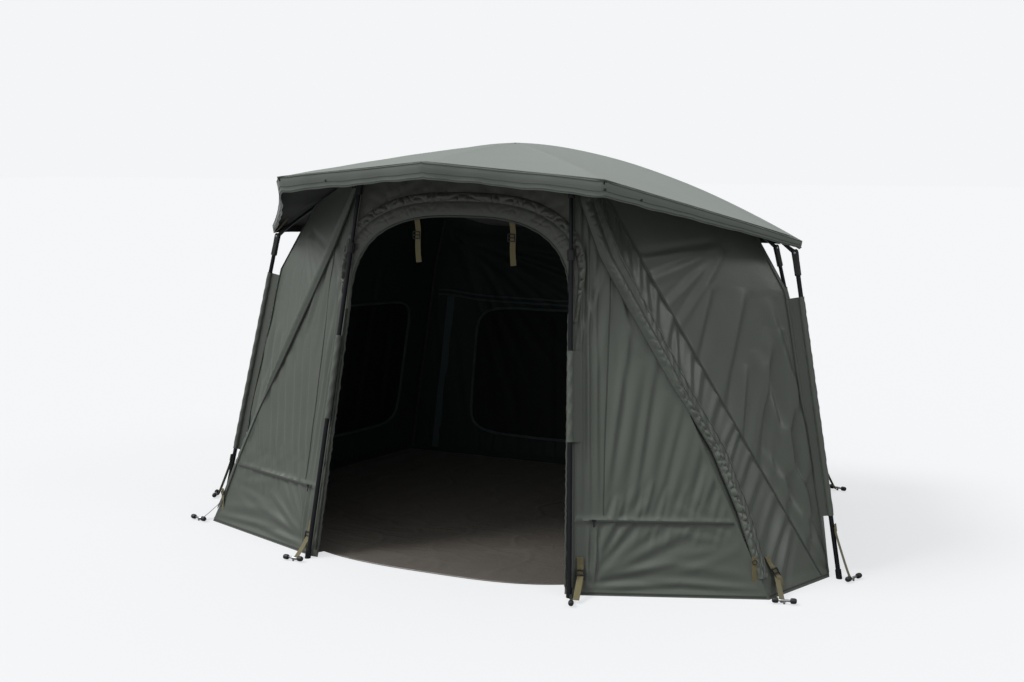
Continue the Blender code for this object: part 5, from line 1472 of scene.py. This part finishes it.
def sleeve_layer(center, reach, down, height, radius, gap):
    """One face of a sleeve: round the leg, and out along both sides of the fin that runs to the wall."""
    toward, aside = unit(reach), unit(np.cross(down, reach))
    start = math.asin(gap / radius)
    turn = np.linspace(start, 2 * math.pi - start, 30)
    crumple = 0.8 * MM * np.sin(height * 95 + turn * 2) + 0.5 * MM * np.sin(height * 210 - 3 * turn)
    around = np.cos(turn)[None, :, None] * toward[:, None] + np.sin(turn)[None, :, None] * aside[:, None]
    ring = center[:, None] + (radius + crumple * (radius > BORE))[..., None] * around
    length_of = np.linalg.norm(reach, axis=1, keepdims=True) - 0.9 * MM
    out = lerp(length_of, radius * math.cos(start), np.arange(6) / 6)
    fin = center[:, None] + toward[:, None] * out[..., None]
    edge = aside[:, None] * gap
    return np.concatenate([fin + edge, ring, (fin - edge)[:, ::-1]], axis=1)


def make_sleeves():
    """Cloth wrapped round a leg, its two layers meeting in a fin that runs back to the wall."""
    for tag, side in SIDES:
        p = PLACES[side]
        for station, low, high, foot, top in SLEEVES:
            pin, end, down = legs(station, side)
            height = np.linspace(low, high, 60)[:, None]
            center = lerp(end, pin, height / pin[2])
            wall = lerp(p[foot], p[top], height / p[top][2])
            if station == "front":
                plain, folded, zip_row = folded_wing(side)
                wall = sample(folded, *wing_shares(plain, zip_row, 0.048, height[:, 0]))
            reach = wall - center
            reach = reach - down * (reach @ down)[:, None]
            faces = ((WRAP, 1.1 * MM), (BORE, 0.25 * MM))
            layers = [sleeve_layer(center, reach, down, height, radius, gap) for radius, gap in faces]
            names = f"sleeve_cloth_{station}_{tag}", f"sleeve_{station}_{tag}"
            sleeve = wall_sheet(*names, closed(*layers), ["wall"])


# Groundsheet
FLOOR_RINGS = 104
FLOOR_MIDDLE = np.array([0.0, 0.05, 0.0])


def floor_outline():
    """Outline of the groundsheet a little inside the walls' feet, and its curved front edge."""
    share = 1 - 0.0018
    names = ("door_foot", "corner_foot", "seam_foot", "side_foot", "rear_foot")
    door, *right = (HUB + (RIGHT[name] - HUB) * np.array([share, share, 1]) for name in names)
    across = np.linspace(-1, 1, 70)
    half = np.where(across < 0, 0.600, 0.560)
    recede = np.where(across < 0, 0.078, 0.115)
    front = np.stack([half * across, FRONT_Y + 0.034 + recede * np.abs(across) ** 3, 0 * across], -1)
    wing = lerp(door, right[0], 0.04)
    left = [point * MIRROR for point in right[::-1]]
    rest = line([front[-1], wing, *right, left[0]], [3, 34, 16, 3, 60, 80])[1:-1]
    back = line([*left, wing * MIRROR, front[0]], [60, 3, 16, 34, 3])[:-1]
    return np.concatenate([front, rest, back]), front


def make_groundsheet():
    """Floor inside the walls, with soft ridges, and a raised welt along its curved front edge."""
    outline, front = floor_outline()
    rings = np.linspace(0.004, 1, FLOOR_RINGS)[:, None, None]
    flat = FLOOR_MIDDLE + (outline - FLOOR_MIDDLE)[None] * rings
    across, back = flat[..., 0], flat[..., 1]
    swell = ripples(across, back, 90, 0.09, 0.5, 16)
    sharp = np.abs(ripples(across, back, 91, 0.25, 0.7, 8))
    level = np.abs(ripples(back, across * 0.25, 92, 0.10, 0.30, 7))
    height = 3.2 * MM + 1.4 * MM * np.clip(swell, -1.2, 2) + 3.2 * MM * bell(sharp, 0.12)
    height = height + 3.4 * MM * bell(level, 0.16) * ease(-back, -0.4, 0.8)
    height = np.clip(height, 1.4 * MM, 10 * MM) * ease(1 - rings[..., 0], -0.06, 0.03)
    shell = closed(flat + UP * height[..., None], flat + UP * 0.3 * MM, around=True)
    floor = fitting("floor_cloth", [shell], ["floor"], "base", "groundsheet")
    lip = front[1:-1] + np.array([0, 0.004, 2.8 * MM])
    fitting("floor_welt", [rope(lip, 3.4 * MM, 8, flat=1.5)], ["floor"], "base")


# Pegs, webbing and fittings
# Peg: length and height of its handle, radius of its neck and the height where a strap lies round it
HANDLE = 0.094
HANDLE_HEIGHT = 0.0145
NECK = 0.0042
NECK_HEIGHT = 0.006
PEG_BAR = [(0.0035, -0.030), (0.0050, -0.0285), (0.0050, 0.0285), (0.0035, 0.030)]
PEG_SHAFT = [(0.0030, 0), (NECK, 1.5 * MM), (NECK, 0.0125), (0.0030, 0.0140)]
PEG_KNOB = [
    (0.0062, 0.0225), (0.0095, 0.0240), (0.0105, 0.0275), (0.0105, 0.0380),
    (0.0098, 0.0420), (0.0084, 0.0455), (0.0040, 0.0470),
]
RIVET = [(0.0052, 0.0092), (0.0052, 0.0108), (0.0040, 0.0118), (0.0004, 0.0122)]
# Webbing: its thickness, the radius of a leg that it lies on, heights of its sewn top and its buckle
WEB_THICK = 2.0 * MM
LEG_RADIUS = 0.0095
STRAP_TOP = 0.145
BUCKLE_HEIGHT = 0.080
# Length of a door strap, and its distance from the middle of the doorway
DOOR_STRAP = 0.218
DOOR_STRAP_OUT = 0.218
FINISHES = {
    "spoke": "tube", "leg": "tube", "zip": "tube",
    "hub": "nylon", "knuckle": "nylon", "twist": "nylon",
}


def corner_strap_line(side):
    """Foot and top of the line on the corner panel that its strap lies along."""
    p = PLACES[side]
    share = 0.095 / np.linalg.norm(p["seam_foot"] - p["corner_foot"])
    return lerp(p["corner_foot"], p["seam_foot"], share), lerp(p["flap_top"], p["seam_top"], share)


def peg_places(side):
    """Each peg's place on the ground and the direction of its handle."""
    p = PLACES[side]
    front = place(FEET["front"][0] * side, 0) + np.array([side * 0.033, -0.145 * 0.42, 0])
    corner = p["corner_foot"] + away(p["corner_foot"]) * HANDLE * 0.72
    side_foot, rear_foot = (place(FEET[name][0] * side, FEET[name][1]) for name in ("side", "rear"))
    run = unit(corner - corner_strap_line(side)[0])
    return {
        "front": (front, RIGHTWARD if side < 0 else unit([0.35, -1, 0])),
        "corner": (corner, np.array([run[1], -run[0], 0])),
        "side": (side_foot + away(side_foot) * HANDLE * 0.62, unit([side * 0.5, 1, 0])),
        "rear": (rear_foot + away(rear_foot) * HANDLE * 0.62, unit([1.0, -side * 0.4, 0])),
    }


def make_pegs():
    """Cross-handled pegs: a bright steel shaft and bar with a ribbed black knob at each end."""
    for tag, side in SIDES:
        for station, (point, way) in peg_places(side).items():
            top = point + UP * HANDLE_HEIGHT
            shells = [lathe(top, way, PEG_BAR, 20), lathe(point, UP, PEG_SHAFT, 16)]
            shells += [lathe(top, way * end, PEG_KNOB, 28, slot=1, ribs=0.5 * MM) for end in (-1, 1)]
            names = f"peg_made_{station}_{tag}", f"peg_{station}_{tag}"
            fitting(names[0], shells, ["steel", "nylon"], "base", names[1])


def ladder_buckle(center, across, along, scale=1.0):
    """Ladder buckle: two rails and three bars, rounded, with the middle bar set back."""
    across, along = unit(across), unit(along)
    normal = unit(np.cross(across, along))
    shells = []
    for s in (-1, 1):
        rail = [center + across * s * 0.0148 + along * t * scale for t in np.linspace(-0.0155, 0.0155, 7)]
        radius = np.array([1.8, 2.5, 2.7, 2.7, 2.7, 2.5, 1.8]) * scale * MM
        shells.append(rope(rail, radius, 10, hint=normal, flat=0.8, slot=1))
    for t, drop, thick in ((-0.0142, 0, 2.1), (0.0, 1.4 * MM, 1.9), (0.0142, 0, 2.1)):
        middle = center + along * t * scale - normal * drop
        bar = [middle + across * s for s in np.linspace(-0.0150, 0.0150, 5)]
        shells.append(rope(bar, thick * scale * MM, 10, hint=normal, flat=1.25, slot=1))
    return shells


def smooth_path(points, count=60):
    """A rounded path through points, by repeated corner cutting, kept at its two ends."""
    points = np.array(points, dtype=float)
    for _ in range(2):
        cuts = [lerp(points[:-1], points[1:], share) for share in (0.25, 0.75)]
        cut = np.stack(cuts, 1).reshape(-1, 3)
        points = np.concatenate([points[:1], cut[1:-1], points[-1:]])
    run = run_along(points)
    even = np.linspace(0, run[-1], count)
    return np.stack([np.interp(even, run, points[:, k]) for k in range(3)], -1)


def ground_strap(key, tag, top, down, outward, across, peg, aside, tail):
    """Sewn end on the wall, ladder buckle, the run down to the peg, and a loose tail below the buckle."""
    seat = top + outward * (WEB_THICK / 2 + FIT)
    toward = unit((peg + across * aside - top) * FLAT)
    end = peg + across * aside - toward * (NECK + FIT) * (aside == 0)
    end[2] = HANDLE_HEIGHT if aside else NECK_HEIGHT
    flat = end - toward * (0.010 * (aside == 0) + MM)
    buckle = top + down * (top[2] - BUCKLE_HEIGHT) / -down[2] + outward * 0.0065
    route = [seat, seat + down * 0.025, buckle - down * 0.012, buckle + down * 0.010, flat, end]
    shells = [ribbon(smooth_path(route), across, sizes().webbing, WEB_THICK, columns=9)]
    shells += ladder_buckle(buckle + outward * 4.0 * MM, across, down, 1.25)
    lump = [seat + outward * 1.2 * MM + down * t for t in np.linspace(0.001, 0.030, 6)]
    shells.append(ribbon(lump, across, 0.0245, 1.6 * MM))
    fall = [(4 * MM, 0.010), (11 * MM, 0.024), (7 * MM, tail + 0.012)]
    fall = smooth_path([buckle + outward * out + down * below for out, below in fall], 24)
    shells.append(ribbon(fall, across, 0.024, 1.5 * MM))
    names = f"{key}_strap_{tag}_webbing", f"strap_{key}_{tag}"
    fitting(names[0], shells, ["web", "nylon"], "base", names[1])


def front_strap(tag, side):
    """Strap beside the door, over the wing's foot."""
    p = PLACES[side]
    start = at_height(p["door_foot"], p["door_top"], ZIP_HEIGHT)
    along = unit(at_height(p["corner_foot"], p["flap_top"], ZIP_HEIGHT) - start)
    outward = unit(np.cross(along, unit(p["door_top"] - p["door_foot"]))) * side
    top = at_height(p["door_foot"], p["door_top"], STRAP_TOP) + along * sizes().webbing * 1.3
    beside = 0 if side < 0 else 0.0050 + sizes().webbing / 2 + FIT
    down = unit(p["door_foot"] - p["door_top"])
    ground_strap("front", tag, top, down, outward, along, peg_places(side)["front"][0], beside, 0.045)


def corner_strap(tag, side):
    """Strap on the corner panel, beside the flap's foot."""
    p = PLACES[side]
    low, high = corner_strap_line(side)
    across, up = unit(p["seam_foot"] - p["corner_foot"]), unit(high - low)
    out = unit(np.cross(across, up)) * side
    peg = peg_places(side)["corner"][0]
    ground_strap("corner", tag, at_height(low, high, STRAP_TOP), -up, out, across, peg, 0, 0.040)


def side_strap(tag, side):
    """Strap from a loop on the side leg down to its peg."""
    _, end, way = legs("side", side)
    inward = unit(HUB - end)
    seat = -unit(inward * FLAT - way * (inward @ way)) * (LEG_RADIUS + FIT + MM)
    head = end - way * (0.205 / -way[2])
    peg = peg_places(side)["side"][0]
    toward = unit(peg - end)
    stop = peg - toward * (NECK + FIT)
    stop[2] = NECK_HEIGHT
    route = smooth_path([head + seat, head + seat + way * 0.03, stop - toward * 0.011, stop], 40)
    wide = np.cross(way, seat)
    loop = [head + seat * 1.25 + way * t for t in np.linspace(-0.012, 0.020, 6)]
    shells = [ribbon(route, wide, sizes().webbing, WEB_THICK, columns=9)]
    shells.append(ribbon(loop, wide, 0.026, 2.4 * MM))
    fitting(f"side_strap_{tag}_webbing", shells, ["web"], "base", f"strap_side_{tag}")


def flap_strap(tag, side):
    """Short strap with a ring that hangs from the foot of the corner flap."""
    p = PLACES[side]
    crease = lerp(p["corner_foot"], p["flap_top"], 0.085)
    out = away(crease)
    wing_way = unit(p["door_foot"] - p["corner_foot"])
    hang = crease + out * 11 * MM + wing_way * 0.006
    stop = hang * FLAT + UP * 0.010 + out * 0.006
    path = smooth_path([hang + UP * 0.025, hang, hang - UP * 0.05 + out * 4 * MM, stop], 30)
    turn = turns_of(20)
    circle = np.outer(np.cos(turn), wing_way) + np.outer(np.sin(turn), UP)
    ring = hang + out * 3 * MM + UP * 0.004 + 0.009 * circle
    shells = [ribbon(path, wing_way, 0.020, 1.6 * MM)]
    shells.append(rope(ring, 1.4 * MM, 8, hint=out, ring_shaped=True, slot=1))
    fitting(f"flap_strap_{tag}", shells, ["web", "nylon"], "base")


def rear_strap(tag, side):
    """Strap from the rear leg down to its peg."""
    _, end, way = legs("rear", side)
    peg = peg_places(side)["rear"][0]
    toward = unit((peg - end) * FLAT)
    head = end - way * (0.150 / -way[2]) + toward * (LEG_RADIUS + 1.5 * MM)
    stop = peg - toward * 0.0045 + UP * NECK_HEIGHT
    route = smooth_path([head, head + way * 0.03, stop - toward * 0.011, stop], 40)
    shell = ribbon(route, np.cross(UP, toward), sizes().webbing, WEB_THICK, columns=9)
    fitting(f"rear_strap_{tag}_webbing", [shell], ["web"], "base")


def make_ground_straps():
    """Webbing at each foot: beside the door, at the corner and its flap, at the side and rear legs."""
    for tag, side in SIDES:
        for strap in (front_strap, corner_strap, side_strap, flap_strap, rear_strap):
            strap(tag, side)


def make_door_straps():
    """Straps that hang in the head of the doorway, each with its slider and a hemmed foot."""
    top = door_crown() + 0.024
    face = HUB[1] + (door_plane(top) - HUB[1]) * (1 - 0.003) + FIT + 1.0 * MM
    height = np.linspace(top, top - DOOR_STRAP, 60)
    drop = top - height
    sway = 2.5 * MM * np.sin(drop * 26) * ease(drop, 0.02, 0.1)
    for tag, side in SIDES:
        half = side * DOOR_STRAP_OUT + sway * 1.5 + 0.05 * drop
        path = np.stack([half, face + 1.5 * MM + np.abs(sway), height], -1)
        slider = np.array([side * DOOR_STRAP_OUT, face + 1.5 * MM, top - 0.104]) + FORWARD * 1.5 * MM
        hem = path[-8:] - FORWARD * 1.6 * MM
        shells = [ribbon(path, RIGHTWARD, sizes().webbing, 1.8 * MM, columns=9)]
        shells += ladder_buckle(slider, RIGHTWARD, -UP)
        shells.append(ribbon(hem, RIGHTWARD, 0.0255, 1.6 * MM))
        names = f"door_strap_{tag}_webbing", f"door_strap_{tag}"
        fitting(names[0], shells, ["web", "nylon"], "canopy", names[1])


def make_fittings():
    """Finishes of the frame's own pieces, and the rivet heads at its pins."""
    for name, item in frame["nodes"].items():
        made = FINISHES.get(name.split("_")[0])
        if made:
            for place_of in item.material_slots:
                place_of.material = stuff(made)
    for tag, _ in SIDES:
        for station in ("front", "side", "rear"):
            pin, axis = hinge(station, tag)
            shells = [lathe(pin, axis * end, RIVET, 20) for end in (-1, 1)]
            fitting(f"rivets_{station}_{tag}", shells, ["steel"], f"{station}_leg_{tag}")


# Stage: the floor's albedo is set so that it meets the background; its glow keeps the shadow light
BACKGROUND = "#f4f5f7"
FLOOR_HALF = 60.0
FLOOR_DROP = 0.0006
FLOOR_ALBEDO = 0.78
FLOOR_BOUNCE = 0.30
FLOOR_GLOW = 0.70
SKY_TINT = (0.97, 0.99, 1.0, 1)
SKY_LOW = 0.12
SKY_HIGH = 1.10
SKY_LEAN = (-0.20, -0.20, 0.96)
# Name, strength, spread in degrees and direction
LAMPS = (("Key", 2.1, 20, (0.64, 0.46, -1.0)), ("Side", 0.42, 16, (-1.0, 0.15, -0.8)))
LENS = 45.55
SENSOR = 36
CAMERA_PLACE = (2.3841, -5.4803, 1.717)
CAMERA_TILT = 81.63
CAMERA_TURN = 24.29


def make_floor_material(pale):
    """Matt pale floor that glows a little to the camera and gives less light back to the tent."""
    made, tree = new_material("Matt studio floor")
    ray = node(tree, "ShaderNodeLightPath").outputs["Is Camera Ray"]
    uneven = noise(tree, in_space(tree), 3.0, 2.0)
    seen = node(tree, "ShaderNodeMix", {"data_type": "RGBA"})
    tree.links.new(seen.inputs[0], ray)
    seen.inputs[6].default_value = (*shade_of(pale, FLOOR_BOUNCE), 1)
    tree.links.new(seen.inputs[7], tinted(tree, shade_of(pale, FLOOR_ALBEDO), 0.004, uneven))
    settings = {"Roughness": 1.0, "Specular IOR Level": 0.0}
    matt = node(tree, "ShaderNodeBsdfPrincipled", settings, Base_Color=seen.outputs[2])
    glow = node(tree, "ShaderNodeEmission", {"Color": (*pale, 1), "Strength": 1.0})
    share = maths(tree, "MULTIPLY", ray, FLOOR_GLOW)
    lit = node(tree, "ShaderNodeMixShader", None, Fac=share, i1=matt.outputs[0], i2=glow.outputs[0])
    node(tree, "ShaderNodeOutputMaterial", Surface=lit.outputs[0])
    return made


def make_sky(pale):
    """World with one plain colour for the camera and a soft leaning gradient as light."""
    world = bpy.data.worlds.new("Soft studio")
    world.use_nodes = True
    tree = world.node_tree
    tree.nodes.clear()
    ray = node(tree, "ShaderNodeLightPath").outputs["Is Camera Ray"]
    way = node(tree, "ShaderNodeTexCoord").outputs["Generated"]
    height = node(tree, "ShaderNodeVectorMath", {"operation": "DOT_PRODUCT"}, i0=way)
    height.inputs[1].default_value = SKY_LEAN
    bright = spread(tree, height.outputs["Value"], SKY_LOW, SKY_HIGH)
    sky = node(tree, "ShaderNodeBackground", {"Color": SKY_TINT}, Strength=bright)
    seen = node(tree, "ShaderNodeBackground", {"Color": (*pale, 1), "Strength": 1.0})
    mixed = node(tree, "ShaderNodeMixShader", None, Fac=ray, i1=sky.outputs[0], i2=seen.outputs[0])
    node(tree, "ShaderNodeOutputWorld", Surface=mixed.outputs[0])
    return world


def make_stage():
    """Seamless pale floor and background, a soft sky, two broad suns from above, and the camera."""
    scene = bpy.context.scene
    pale = linear(BACKGROUND)
    mesh = bpy.data.meshes.new("studio_floor")
    corners = [(FLOOR_HALF * x, FLOOR_HALF * y, 0) for x, y in ((-1, -1), (1, -1), (1, 1), (-1, 1))]
    mesh.from_pydata(corners, [], [(0, 1, 2, 3)])
    mesh.materials.append(make_floor_material(pale))
    floor = bpy.data.objects.new("studio_floor", mesh)
    scene.collection.objects.link(floor)
    floor.location.z = -FLOOR_DROP
    scene.world = make_sky(pale)
    for name, strength, breadth, direction in LAMPS:
        lamp = bpy.data.lights.new(name, "SUN")
        lamp.energy = strength
        lamp.angle = math.radians(breadth)
        item = bpy.data.objects.new(name, lamp)
        item.rotation_euler = Vector(direction).to_track_quat("-Z", "Y").to_euler()
        scene.collection.objects.link(item)
    view = bpy.data.cameras.new("Photo view")
    view.lens = LENS
    view.sensor_width = SENSOR
    view.sensor_fit = "HORIZONTAL"
    view.dof.use_dof = False
    camera = bpy.data.objects.new("Photo view", view)
    camera.location = CAMERA_PLACE
    camera.rotation_euler = (math.radians(CAMERA_TILT), 0, math.radians(CAMERA_TURN))
    scene.collection.objects.link(camera)
    scene.camera = camera
    scene.view_settings.view_transform = "Standard"


# Add-on
class TentOperator:
    """Shared run of the tent's operators: it calls the maker and stops with an error if that fails."""

    bl_options = {"REGISTER", "UNDO"}

    def execute(self, context):
        before = len(bpy.data.objects)
        self.make()
        if len(bpy.data.objects) <= before:
            self.report({"ERROR"}, f"{self.bl_label} made nothing")
            return {"CANCELLED"}
        return {"FINISHED"}


def operator(maker, about):
    """An operator class for one piece or group of like pieces, called after the function that makes it."""
    key = maker.__name__.removeprefix("make_")
    fields = {
        "__doc__": about,
        "bl_idname": f"tent.{key}",
        "bl_label": key.replace("_", " ").capitalize(),
        "make": staticmethod(maker),
    }
    return type(f"TENT_OT_{key}", (TentOperator, bpy.types.Operator), fields)


OPERATORS = (
    operator(make_stage, "Floor, light and camera"),
    operator(make_roof, "One sewn roof sheet with its piping, cap, studs and corner tabs"),
    operator(make_front_wings, "Wings beside the door with folds, zip line and seams"),
    operator(make_side_walls, "Corner panels and side walls with their folds"),
    operator(make_rear_side_walls, "Rear side walls with mesh windows inside"),
    operator(make_back_wall, "Back wall with its window and lining seams"),
    operator(make_door_wall, "Cloth round the doorway with its binding"),
    operator(make_arch_band, "Gathered hood over the doorway's arch"),
    operator(make_corner_flaps, "Ruffled flaps over the corner zips"),
    operator(make_sleeves, "Cloth sleeves that hold the legs"),
    operator(make_groundsheet, "Heavy floor with its welt"),
    operator(make_ground_straps, "Webbing from the walls and legs to the pegs"),
    operator(make_door_straps, "Straps that hang in the head of the doorway"),
    operator(make_pegs, "Cross-handled ground pegs"),
    operator(make_fittings, "Finishes of tubes, knuckles and zips, and rivets"),
)


class TENT_PT_panel(bpy.types.Panel):
    """Lists the tent's settings and makers."""

    bl_label = "Bivvy tent"
    bl_idname = "TENT_PT_panel"
    bl_space_type = "VIEW_3D"
    bl_region_type = "UI"
    bl_category = "Tent"

    def draw(self, context):
        for group in (context.scene.tent_sizes, context.scene.tent_colours):
            box = self.layout.box()
            for name in group.bl_rna.properties.keys():
                if name not in ("rna_type", "name"):
                    box.prop(group, name)
        for made in OPERATORS:
            self.layout.operator(made.bl_idname)


CLASSES = (TentSizes, TentColours, *OPERATORS, TENT_PT_panel)


def register():
    for item in CLASSES:
        bpy.utils.register_class(item)
    bpy.types.Scene.tent_sizes = PointerProperty(type=TentSizes)
    bpy.types.Scene.tent_colours = PointerProperty(type=TentColours)


def unregister():
    del bpy.types.Scene.tent_colours
    del bpy.types.Scene.tent_sizes
    for item in reversed(CLASSES):
        bpy.utils.unregister_class(item)


def main():
    """Register the add-on, make every piece in order and note the two boxes."""
    register()
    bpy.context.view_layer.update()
    for made in OPERATORS:
        run = getattr(bpy.ops.tent, made.bl_idname.split(".")[1])
        if run() != {"FINISHED"}:
            raise RuntimeError(f"{made.bl_label} did not finish")
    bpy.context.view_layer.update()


if __name__ == "__main__":
    main()
